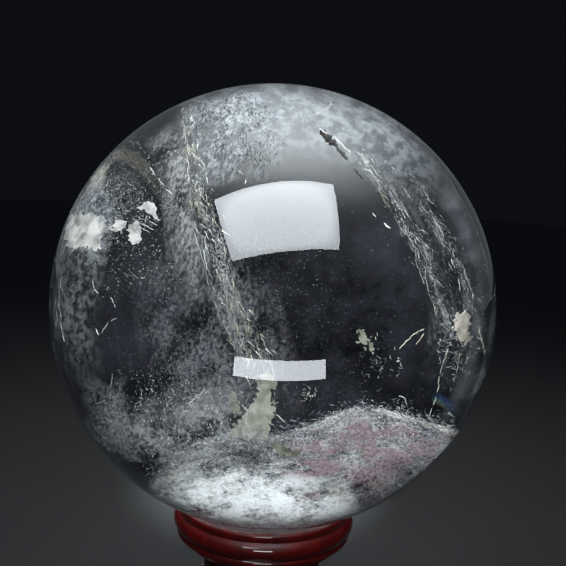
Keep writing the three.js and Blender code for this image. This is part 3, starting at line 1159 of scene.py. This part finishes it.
film(
    "low_left_film",
    milk("low left milk", MILK_GREY, MILK_WHITE, 210, 0.40, 0.60, 0.50, (1, 1, 0.5)),
    [
        at_depth(0.40, (-0.64, -0.30), (-0.67, -0.45), (-0.70, -0.58), (-0.68, -0.71)),
        at_depth(0.34, (-0.71, -0.30), (-0.79, -0.43), (-0.86, -0.49), (-0.80, -0.58)),
    ],
    (0.15, 0.5), (0.3, 0.1),
)
film(
    "low_middle_film",
    milk("low middle milk", HAZE_PALE, (0.37, 0.37, 0.35, 1), 230, 0.42, 0.60, 0.42),
    [
        [(-0.93, -0.20, 0.46), (-0.60, -0.40, 0.46), (-0.28, -0.28, 0.48), (0.06, -0.42, 0.50)],
        [(-0.85, -0.48, 0.42), (-0.56, -0.55, 0.44), (-0.26, -0.49, 0.48), (0.06, -0.53, 0.50)],
        [(-0.72, -0.68, 0.38), (-0.50, -0.70, 0.42), (-0.24, -0.66, 0.46), (0.06, -0.62, 0.50)],
    ],
    (0.5, 0.05), (0.08, 0.2),
)
film(
    "right_spray_film",
    milk("spray milk", HAZE_PALE, MILK_WHITE, 300, 0.42, 0.60, 0.42, (1, 1, 0.5)),
    [
        at_depth(0.66, (0.68, 0.08), (0.68, -0.12), (0.66, -0.28), (0.62, -0.46)),
        at_depth(0.70, (0.91, 0.08), (0.94, -0.10), (0.92, -0.24), (0.86, -0.42)),
    ],
    (0.9, 0.1), (0.35, 0.6),
)
film(
    "crown_film",
    milk("crown milk", MILK_GREY, MILK_WHITE, 190, 0.42, 0.60, 0.50, (1, 1, 0.4)),
    CROWN_VEIL, (0.15, 0.5), (0.2, 0.4),
)
film(
    "crown_clouds",
    milk("crown clouds", (0.20, 0.22, 0.235, 1), (0.50, 0.53, 0.54, 1), 90, 0.26, 0.70, 0.60),
    [
        at_depth(0.60, (-0.44, 0.89), (-0.10, 0.98), (0.22, 0.965), (0.52, 0.845), (0.82, 0.56)),
        at_depth(0.60, (-0.44, 0.76), (-0.10, 0.82), (0.18, 0.83), (0.44, 0.74), (0.74, 0.48)),
        at_depth(0.60, (-0.44, 0.60), (-0.10, 0.66), (0.14, 0.66), (0.34, 0.60), (0.62, 0.38)),
    ],
    (0.06, 0.75), (0.25, 0.35),
)


def rainbow_milk():
    """A crack so thin that it shows the colours of oil on water."""
    finish = Finish("rainbow film", {"Roughness": 0.4})
    tints = finish.noise(260, 1, 0.5, finish.stretched((1, 1, 2.2)))
    finish.paint(
        "Base Color",
        finish.ramp(
            tints,
            (0.36, (0.03, 0.06, 0.16)),
            (0.46, (0.05, 0.16, 0.13)),
            (0.55, (0.24, 0.16, 0.05)),
            (0.66, (0.20, 0.05, 0.04)),
        ),
    )
    body = finish.node("ShaderNodeAttribute", {"attribute_name": "body"}, {}, "Fac")
    finish.paint("Alpha", body * 0.35)
    return finish.material


film(
    "rainbow_film", rainbow_milk(),
    [
        at_depth(0.50, (0.70, -0.42), (0.76, -0.455), (0.84, -0.50)),
        at_depth(0.52, (0.72, -0.37), (0.79, -0.41), (0.86, -0.46)),
    ],
    (0.4, 0.4), (0.4, 0.4), (16, 16),
)
film(
    "middle_film",
    milk("mauve milk", MILK_MAUVE, (0.30, 0.29, 0.29, 1), 210, 0.43, 0.60, 0.48),
    DUSTY_PART, (0.6, 0.4), (0.4, 0.2),
)
film(
    "wide_film",
    milk("thin milk", MILK_GREY, MILK_MAUVE, 75, 0.38, 0.70, 0.14),
    [
        [(-0.90, 0.35, 0.35), (-0.95, 0.00, 0.40), (-0.90, -0.35, 0.45), (-0.66, -0.72, 0.50)],
        [(-0.10, 0.60, 0.50), (-0.10, 0.30, 0.55), (-0.05, -0.30, 0.60), (0.0, -0.80, 0.60)],
        at_depth(0.60, (0.70, 0.55), (0.90, 0.10), (0.88, -0.25), (0.65, -0.66)),
    ],
    (0.1, 0.1), (0.2, 0.2),
)


# ------------------------------------------------------------------ the skins and splinters
# Here and there a healed crack carries a solid skin of white or cream mineral, thin as paper
# and ragged at its edge. Narrow cracks show as bright splinters.

def closed_curve(points, steps=10):
    """A smooth closed line through points."""
    count = len(points)
    line = []
    for place in range(count):
        around = [np.array(points[(place + k) % count], float) for k in (-1, 0, 1, 2)]
        for step in range(steps):
            line.append(between(*around, step / steps))
    return np.array(line)


def inside_by(places, outline):
    """How far each place lies inside an outline. Outside it the distance is negative."""
    starts, ends = outline, np.roll(outline, -1, axis=0)
    edges = ends - starts
    offsets = places[:, None, :] - starts[None]
    shares = np.clip((offsets * edges).sum(2) / (edges**2).sum(1), 0, 1)
    nearest = offsets - shares[..., None] * edges[None]
    distance = np.sqrt((nearest**2).sum(2)).min(1)
    above = (starts[None, :, 1] > places[:, None, 1]) != (ends[None, :, 1] > places[:, None, 1])
    crossing = starts[None, :, 0] + (places[:, None, 1] - starts[None, :, 1]) / np.where(
        edges[None, :, 1] == 0, 1e-9, edges[None, :, 1]
    ) * edges[None, :, 0]
    within = (above & (places[:, None, 0] < crossing)).sum(1) % 2 == 1
    return np.where(within, distance, -distance)


SKIN_THICKNESS = 0.12
SKIN_RIPPLE = 0.006
SAME_PLACE = 1e-7


def skin(name, material, outline, depth, lean=(0.0, 0.0), ragged=0.02, cell=0.005, seed=0):
    """A thin closed plate with a ragged edge. Its outline is seen from the front, and lean says
    how its depth changes to the right and upward."""
    edge = closed_curve(outline)
    low, high = edge.min(0) - ragged, edge.max(0) + ragged
    columns, rows = (int(n) + 2 for n in (high - low) / cell)
    places = np.array(
        [(low[0] + i * cell, low[1] + j * cell) for j in range(rows) for i in range(columns)]
    )
    worn = []
    for right, up in places:
        spot = Vector((right, up, seed))
        coarse = noise.fractal(spot * 14, 0.8, 2.2, 4)
        fine = noise.fractal(spot * 60, 0.9, 2.2, 3)
        worn.append(coarse * 0.6 + fine * 0.75)
    solid = inside_by(places, edge) + np.array(worn) * ragged
    middle = edge.mean(0)
    corners, faces = [], []
    made = {}

    def corner(a, b):
        """The corner at a grid place (a equals b), or where the edge crosses between two places."""
        key = (min(a, b), max(a, b))
        if key not in made:
            share = 0 if a == b else solid[a] / (solid[a] - solid[b])
            right, up = places[a] + (places[b] - places[a]) * share
            ripple = SKIN_RIPPLE * noise.noise(Vector((right * 20, up * 20, seed + 5)))
            deep = depth + lean[0] * (right - middle[0]) + lean[1] * (up - middle[1]) + ripple
            made[key] = len(corners)
            corners.append(seen_at(right, up, deep))
        return made[key]

    for j in range(rows - 1):
        for i in range(columns - 1):
            here = j * columns + i
            for three in ((here, here + 1, here + columns + 1), (here, here + columns + 1, here + columns)):
                if all(solid[k] <= 0 for k in three):
                    continue
                face = []
                for k, a in enumerate(three):
                    b = three[(k + 1) % 3]
                    if solid[a] > 0:
                        face.append(corner(a, a))
                    if (solid[a] > 0) != (solid[b] > 0):
                        face.append(corner(a, b) if solid[a] > 0 else corner(b, a))
                faces.append(face)
    mesh = mesh_of(name, corners, faces)
    with opened(mesh) as work:
        bmesh.ops.remove_doubles(work, verts=work.verts, dist=SAME_PLACE)
        bmesh.ops.dissolve_degenerate(work, edges=work.edges, dist=SAME_PLACE)
        bmesh.ops.recalc_face_normals(work, faces=work.faces)
        bmesh.ops.solidify(work, geom=work.faces[:], thickness=SKIN_THICKNESS * MM)
        bmesh.ops.recalc_face_normals(work, faces=work.faces)
    return in_the_stone(shown(name, mesh), material)


SPLINTER_STEPS = 26
SPLINTER_BEND = 0.07
SPLINTER_KINK = 0.03


def splinters(name, material, lines, seed=0):
    """Long thin splinters. Each has a width in millimetres and a line of (right, up, depth) points."""
    corners, faces = [], []
    count = SPLINTER_STEPS
    for number, (width, points) in enumerate(lines):
        spine = [seen_at(*along(points, k / count)) for k in range(count + 1)]
        reach = (spine[-1] - spine[0]).length
        first = len(corners)
        corners.append(spine[0])
        for k in range(1, count):
            share = k / count
            onward = (spine[k + 1] - spine[k - 1]).normalized()
            across = onward.cross(TOWARD_EYE).normalized()
            out = across.cross(onward)
            jitter = noise.noise(Vector((share * 9, number * 3.1, seed)))
            half = width * MM / 2 * math.sin(math.pi * share) ** 0.6 * (0.8 + 0.5 * jitter)
            bend = noise.noise(Vector((share * 4, number * 1.7, seed + 3)))
            kink = noise.noise(Vector((share * 17, number * 1.7, seed + 8)))
            stray = reach * (SPLINTER_BEND * bend + SPLINTER_KINK * kink) * math.sin(math.pi * share)
            middle = spine[k] + across * stray
            corners += [
                middle + across * half,
                middle + out * half * 0.4,
                middle - across * half,
                middle - out * half * 0.4,
            ]
        last = len(corners)
        corners.append(spine[-1])
        for k in range(4):
            turn = (k + 1) % 4
            faces.append((first, first + 1 + k, first + 1 + turn))
            faces.append((last, last - 4 + turn, last - 4 + k))
            for ring in range(count - 2):
                a = first + 1 + 4 * ring
                faces.append((a + k, a + 4 + k, a + 4 + turn, a + turn))
    mesh = mesh_of(name, corners, faces)
    with opened(mesh) as work:
        bmesh.ops.recalc_face_normals(work, faces=work.faces)
    return in_the_stone(shown(name, mesh), material)


BROKEN_LENGTH = 0.05


def broken(seed, *lines):
    """Breaks long splinters into short ones that lie a little out of line."""
    draw = random.Random(seed)
    parts = []
    for width, points in lines:
        reach = sum(math.dist(a[:2], b[:2]) for a, b in zip(points, points[1:]))
        count = max(2, round(reach / BROKEN_LENGTH))
        for k in range(count):
            start = (k + draw.uniform(0, 0.3)) / count
            end = min((k + draw.uniform(0.8, 1.35)) / count, 1)
            aside, lift = draw.gauss(0, 0.004), draw.gauss(0, 0.003)
            part = []
            for t in (0, 0.33, 0.67, 1):
                right, up, depth = along(points, start + (end - start) * t)
                part.append((right + aside, up + lift, depth))
            parts.append((width * draw.uniform(0.4, 1.0), part))
    return parts


def strands(rows, count, width, seed):
    """Long thin splinters that run down a curtain."""
    draw = random.Random(seed)
    lines = []
    for _ in range(count):
        share, drift = draw.random(), draw.gauss(0, 0.1)
        start = draw.uniform(0, 0.9)
        end = min(start + draw.uniform(0.03, 0.12), 1)
        points = []
        for k in range(4):
            line = [along(row, start + (end - start) * k / 3) for row in rows]
            points.append(along(line, min(max(share + drift * k / 3, 0), 1)))
        lines.append((width * draw.uniform(0.4, 1.2), points))
    return lines


def scribble(middle, size, count, depth, width, seed):
    """Short curved splinters strewn about a place."""
    draw = random.Random(seed)
    lines = []
    for _ in range(count):
        heading = draw.uniform(0, 2 * math.pi)
        bend = draw.uniform(-1.2, 1.2)
        step = draw.uniform(0.003, 0.010)
        right = middle[0] + draw.gauss(0, size[0])
        up = middle[1] + draw.gauss(0, size[1])
        points = []
        for k in range(4):
            points.append((right, up, depth + 0.01 * k))
            right += step * math.cos(heading)
            up += step * math.sin(heading)
            heading += bend / 3
        lines.append((width * draw.uniform(0.5, 1.2), points))
    return lines


def mineral_skin(name, dark, light, grain):
    """Matt, chalky and a little uneven."""
    finish = Finish(name, {"Roughness": 0.6, "Specular IOR Level": 0.4})
    mottle = finish.noise(grain, 5, 0.65)
    finish.paint("Base Color", finish.blend(finish.step(mottle, 0.36, 0.62), dark, light))
    finish.bump(finish.noise(grain * 3, 3, 0.6), 0.35, 0.0001)
    return finish.material


white_skin = mineral_skin("white skin", (0.15, 0.15, 0.135, 1), (0.40, 0.39, 0.36, 1), 520)
warm_skin = mineral_skin("warm skin", (0.34, 0.30, 0.24, 1), (0.66, 0.60, 0.50, 1), 420)
cream_skin = mineral_skin("cream skin", (0.145, 0.145, 0.105, 1), (0.22, 0.22, 0.17, 1), 300)
dark_skin = mineral_skin("dark skin", (0.012, 0.011, 0.010, 1), (0.05, 0.045, 0.04, 1), 500)

skin(
    "cream_plate", cream_skin,
    [(-0.055, -0.31), (0.01, -0.315), (0.0, -0.39), (0.0, -0.46), (-0.01, -0.53), (-0.03, -0.59),
     (-0.10, -0.59), (-0.20, -0.565), (-0.14, -0.49), (-0.085, -0.415)],
    0.52, (0.1, 0.15), ragged=0.030, cell=0.004, seed=1,
)
skin(
    "cream_plate_spur", cream_skin,
    [(-0.21, -0.40), (-0.17, -0.385), (-0.155, -0.43), (-0.15, -0.485), (-0.185, -0.46), (-0.20, -0.43)],
    0.52, ragged=0.028, cell=0.004, seed=2,
)
skin(
    "cream_crescent", cream_skin,
    [(0.00, -0.595), (0.03, -0.61), (0.075, -0.635), (0.12, -0.64), (0.10, -0.665), (0.055, -0.67),
     (0.015, -0.65)],
    0.50, ragged=0.022, cell=0.004, seed=3,
)
skin(
    "left_white_skin", white_skin,
    [(-0.895, 0.40), (-0.83, 0.41), (-0.785, 0.405), (-0.75, 0.365), (-0.72, 0.355), (-0.69, 0.38),
     (-0.65, 0.38), (-0.68, 0.34), (-0.735, 0.335), (-0.77, 0.315), (-0.765, 0.27), (-0.795, 0.245),
     (-0.85, 0.27), (-0.905, 0.245), (-0.93, 0.33)],
    0.22, (0.25, 0.1), ragged=0.022, cell=0.0035, seed=4,
)
skin(
    "left_white_corner", white_skin,
    [(-0.605, 0.445), (-0.56, 0.47), (-0.525, 0.445), (-0.525, 0.42), (-0.51, 0.385), (-0.54, 0.41),
     (-0.56, 0.425), (-0.595, 0.435)],
    0.22, (0.2, 0.0), ragged=0.015, cell=0.0035, seed=5,
)
skin(
    "left_white_flake", white_skin,
    [(-0.645, 0.365), (-0.605, 0.375), (-0.595, 0.335), (-0.595, 0.29), (-0.63, 0.285), (-0.64, 0.33)],
    0.24, (0.2, 0.0), ragged=0.020, cell=0.0035, seed=6,
)
skin(
    "right_cream_skin", warm_skin,
    [(0.825, -0.05), (0.885, -0.04), (0.88, -0.10), (0.89, -0.155), (0.855, -0.17), (0.825, -0.11)],
    0.46, ragged=0.036, cell=0.0035, seed=8,
)
skin(
    "small_fan", cream_skin,
    [(0.385, -0.105), (0.45, -0.17), (0.435, -0.20), (0.40, -0.175)],
    0.40, ragged=0.035, cell=0.004, seed=9,
)
splinters(
    "dark_blades", dark_skin,
    [
        (1.5, at_depth(0.3, (0.21, 0.795), (0.235, 0.765), (0.262, 0.74), (0.29, 0.715))),
        (0.7, at_depth(0.3, (0.275, 0.725), (0.305, 0.69), (0.335, 0.655))),
        (0.5, at_depth(0.3, (0.36, 0.62), (0.385, 0.59), (0.405, 0.57))),
        (0.9, at_depth(0.2, (0.045, -0.93), (0.055, -0.955), (0.05, -0.985))),
    ],
    seed=4,
)
splinters(
    "blade_edges", cream_veil,
    [
        (0.22, at_depth(0.28, (0.205, 0.80), (0.225, 0.785), (0.245, 0.772))),
        (0.20, at_depth(0.28, (0.27, 0.765), (0.31, 0.725), (0.35, 0.69))),
        (0.14, at_depth(0.4, (0.445, 0.42), (0.46, 0.40))),
        (0.28, at_depth(0.4, (0.495, 0.375), (0.51, 0.36), (0.525, 0.35))),
    ],
    seed=5,
)
splinters(
    "left_splinters", pale_veil,
    broken(
        1,
        (0.22, at_depth(0.3, (-0.945, 0.14), (-0.955, 0.04), (-0.952, -0.06), (-0.93, -0.165))),
        (0.12, at_depth(0.3, (-0.955, 0.10), (-0.968, 0.0), (-0.960, -0.10))),
        (0.19, at_depth(0.3, (-0.81, 0.13), (-0.808, 0.10), (-0.795, 0.07), (-0.775, 0.05))),
        (0.14, at_depth(0.3, (-0.725, 0.05), (-0.71, 0.02), (-0.705, 0.0))),
        (0.14, at_depth(0.3, (-0.80, -0.09), (-0.775, -0.13), (-0.735, -0.07), (-0.70, -0.05))),
        (0.11, at_depth(0.3, (-0.71, -0.28), (-0.725, -0.38), (-0.75, -0.42), (-0.79, -0.43))),
        (0.16, at_depth(0.3, (-0.55, 0.625), (-0.525, 0.585), (-0.49, 0.54), (-0.45, 0.505))),
        (0.12, at_depth(0.4, (-0.625, 0.40), (-0.585, 0.37), (-0.53, 0.34))),
        (0.10, at_depth(0.4, (-0.62, 0.39), (-0.59, 0.355), (-0.545, 0.33))),
        (0.10, at_depth(0.4, (-0.61, 0.405), (-0.57, 0.385), (-0.52, 0.36))),
        (0.12, at_depth(0.4, (-0.165, 0.61), (-0.14, 0.59), (-0.12, 0.565), (-0.125, 0.55))),
        (0.15, at_depth(0.4, (-0.39, -0.445), (-0.345, -0.41), (-0.30, -0.365))),
        (0.10, at_depth(0.4, (-0.58, -0.37), (-0.585, -0.40), (-0.575, -0.415))),
        (0.10, at_depth(0.4, (-0.575, -0.365), (-0.555, -0.36), (-0.54, -0.38))),
    ),
    seed=1,
)
splinters(
    "right_splinters", cream_veil,
    broken(
        2,
        (0.15, at_depth(0.4, (0.55, -0.20), (0.60, -0.15), (0.65, -0.115), (0.68, -0.10))),
        (0.16, at_depth(0.4, (0.635, -0.175), (0.66, -0.145), (0.68, -0.115))),
        (0.12, at_depth(0.4, (0.465, -0.11), (0.475, -0.15))),
        (0.16, at_depth(0.4, (0.55, -0.24), (0.57, -0.235))),
        (0.17, at_depth(0.4, (0.56, -0.395), (0.59, -0.405), (0.605, -0.44))),
        (0.09, at_depth(0.55, (0.79, -0.18), (0.755, -0.27), (0.735, -0.37), (0.69, -0.49))),
        (0.07, at_depth(0.55, (0.83, -0.20), (0.815, -0.30), (0.79, -0.38))),
        (0.16, at_depth(0.6, (0.50, -0.485), (0.56, -0.495), (0.64, -0.52))),
        (0.15, at_depth(0.6, (0.67, -0.515), (0.74, -0.535), (0.81, -0.535))),
        (0.14, at_depth(0.6, (0.92, -0.09), (0.935, -0.16), (0.945, -0.22))),
        (0.10, at_depth(0.5, (0.0, -0.475), (0.03, -0.50), (0.055, -0.52))),
    )
    + scribble((0.145, -0.395), (0.02, 0.015), 16, 0.45, 0.06, 5),
    seed=2,
)
splinters(
    "curtain_strands", cream_veil,
    strands(LEFT_CURTAIN, 40, 0.07, 11)
    + strands(RIGHT_CURTAIN, 30, 0.055, 12)
    + strands(OUTER_CURTAIN, 26, 0.05, 13),
    seed=6,
)
splinters(
    "scribbled_splinters", pale_veil,
    scribble((-0.70, 0.47), (0.08, 0.07), 110, 0.40, 0.055, 3)
    + scribble((-0.51, -0.61), (0.04, 0.03), 40, 0.45, 0.06, 4)
    + scribble((-0.34, -0.50), (0.16, 0.09), 150, 0.42, 0.055, 6)
    + scribble((0.46, -0.26), (0.06, 0.05), 40, 0.40, 0.05, 7)
    + scribble((0.83, -0.14), (0.045, 0.09), 240, 0.50, 0.065, 8),
    seed=3,
)


# ------------------------------------------------------------------ the studio
# A small pale table top in a dark room, with a large softbox high in front. Each of the other
# lamps lights only some of the things, so that the stone isn't hidden by what its polish
# mirrors.

LAMP_COLOUR = (0.88, 0.945, 1.0)


def lamp(name, place, size, power, only, aim=BALL_CENTRE, through_stone=True, spread=None):
    """A flat lamp that lights one group. Its place and size are in metres, its aim in millimetres
    and its spread in degrees."""
    data = bpy.data.lights.new(name, "AREA")
    data.shape = "RECTANGLE"
    data.size, data.size_y = size
    data.energy = power
    data.color = LAMP_COLOUR
    if spread:
        data.spread = math.radians(spread)
    light = bpy.data.objects.new(name, data)
    light.location = place
    light.rotation_euler = (aim * MM - Vector(place)).to_track_quat("-Z", "Y").to_euler()
    light.visible_camera = False
    light.visible_transmission = through_stone
    light.light_linking.receiver_collection = only
    bpy.context.scene.collection.objects.link(light)
    return light


def glow_unevenly(softbox, dim, edge_width=0.02):
    """The cloth of a softbox glows less at one side, and right at its edges."""
    softbox.use_nodes = True
    graph = Graph(softbox.node_tree)
    place = graph.node("ShaderNodeNewGeometry", output="Parametric")
    apart = graph.node("ShaderNodeSeparateXYZ", {}, {"Vector": place})
    across, up = apart.also("X"), apart.also("Y")
    from_sides = across * (1 - across) * up * (1 - up)
    edge = graph.node(
        "ShaderNodeMapRange",
        {"interpolation_type": "SMOOTHSTEP"},
        {"Value": from_sides, "From Min": 0.0, "From Max": edge_width, "To Min": dim},
    )
    strength = (up * (1 - dim) + dim) * edge
    graph.feed(graph.tree.nodes["Emission"].inputs["Strength"], strength)


def group_of(name, members):
    """The things that a lamp may light."""
    group = bpy.data.collections.new(name)
    for member in members:
        group.objects.link(member)
    return group


def pale_table():
    """A plain board, very slightly cloudy."""
    finish = Finish("pale table", {"Roughness": 0.7})
    cloudy = finish.noise(30, 3)
    finish.paint("Base Color", finish.blend(cloudy, (0.66, 0.66, 0.65, 1), (0.70, 0.70, 0.69, 1)))
    return finish.material


TABLE_RADIUS = 450.0
TABLE_THICKNESS = 3.0
table = turned(
    "table", [(0, -TABLE_THICKNESS), (TABLE_RADIUS, -TABLE_THICKNESS), (TABLE_RADIUS, 0), (0, 0)]
)
table.data.materials.append(pale_table())
table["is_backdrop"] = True

parts_lit = group_of("crystal ball and stand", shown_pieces())
not_the_ball = group_of("flaws and stand", [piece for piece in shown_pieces() if piece != ball])
flaws_lit = group_of("flaws", flaws)
ball_lit = group_of("ball", [ball])
table_lit = group_of("table top", [table])
stand_lit = group_of("stand", [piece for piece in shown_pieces() if piece not in [ball] + flaws])

KEY_DISTANCE = 0.6
KEY_RISE = math.radians(59.4)
KEY_ROLL = math.radians(10)
KEY_SHIFT = Vector((0.002, -0.013, -0.008))
KEY_DIM_SIDE = 0.7
key_way = Vector((0.016, -math.cos(KEY_RISE), math.sin(KEY_RISE)))
key_place = key_way * KEY_DISTANCE + BALL_CENTRE * MM + KEY_SHIFT
key = lamp("key softbox", key_place, (0.58, 0.385), 12.5, parts_lit, through_stone=False)
key.rotation_euler = (key.rotation_euler.to_matrix() @ Matrix.Rotation(KEY_ROLL, 3, "Z")).to_euler()
glow_unevenly(key.data, KEY_DIM_SIDE)

lamp("front fill", (0.05, -0.55, 0.02), (0.5, 0.3), 1.6, flaws_lit)
lamp("back softbox", (-0.15, 0.45, 0.55), (0.7, 0.4), 5.0, not_the_ball)
lamp("stand glint", (0.01, -0.5, 0.17), (0.20, 0.07), 0.7, stand_lit, Vector((0, 0, 18)))
lamp("low strip", (0.013, -0.181, 0.021), (0.13, 0.029), 0.15, ball_lit, through_stone=False)
lamp("rim panel", (0.0, 1.0, 0.2), (2.8, 1.8), 1.7, ball_lit, through_stone=False)

# Two narrow lamps light the table, one all round the stand and one a small pool behind it,
# which the stone turns into the brightness under its crown.
NARROW = 26
lamp("table light", (0.0, 0.04, 0.6), (0.2, 0.2), 0.006, table_lit, Vector((0, 40, 0)), spread=NARROW)
lamp(
    "pool behind the ball", (-0.002, 0.088, 0.13), (0.012, 0.07), 0.0055, table_lit,
    Vector((-2, 88, 0)), spread=NARROW,
)

DARK_ROOM = (0.004, 0.0045, 0.006, 1)
LENS = 85
AIM_RIGHT = 1.8
AIM_UP = 4.3

world = bpy.data.worlds.new("dark room")
world.use_nodes = True
world.node_tree.nodes["Background"].inputs["Color"].default_value = DARK_ROOM
bpy.context.scene.world = world

camera_data = bpy.data.cameras.new("camera")
camera_data.lens = LENS
camera_data.clip_start = 0.01
camera = bpy.data.objects.new("camera", camera_data)
aim = BALL_CENTRE + FACE_RIGHT * AIM_RIGHT + FACE_UP * AIM_UP
look = (EYE - aim).normalized()
side = FACE_UP.cross(look).normalized()
over = look.cross(side)
camera.matrix_world = Matrix.Translation(EYE * MM) @ Matrix((side, over, look)).transposed().to_4x4()
bpy.context.scene.collection.objects.link(camera)
bpy.context.scene.camera = camera

scene = bpy.context.scene
scene.view_settings.view_transform = "Standard"
scene.cycles.caustics_refractive = False
scene.cycles.caustics_reflective = False
scene.cycles.max_bounces = 24
scene.cycles.transmission_bounces = 20
scene.cycles.transparent_max_bounces = 24
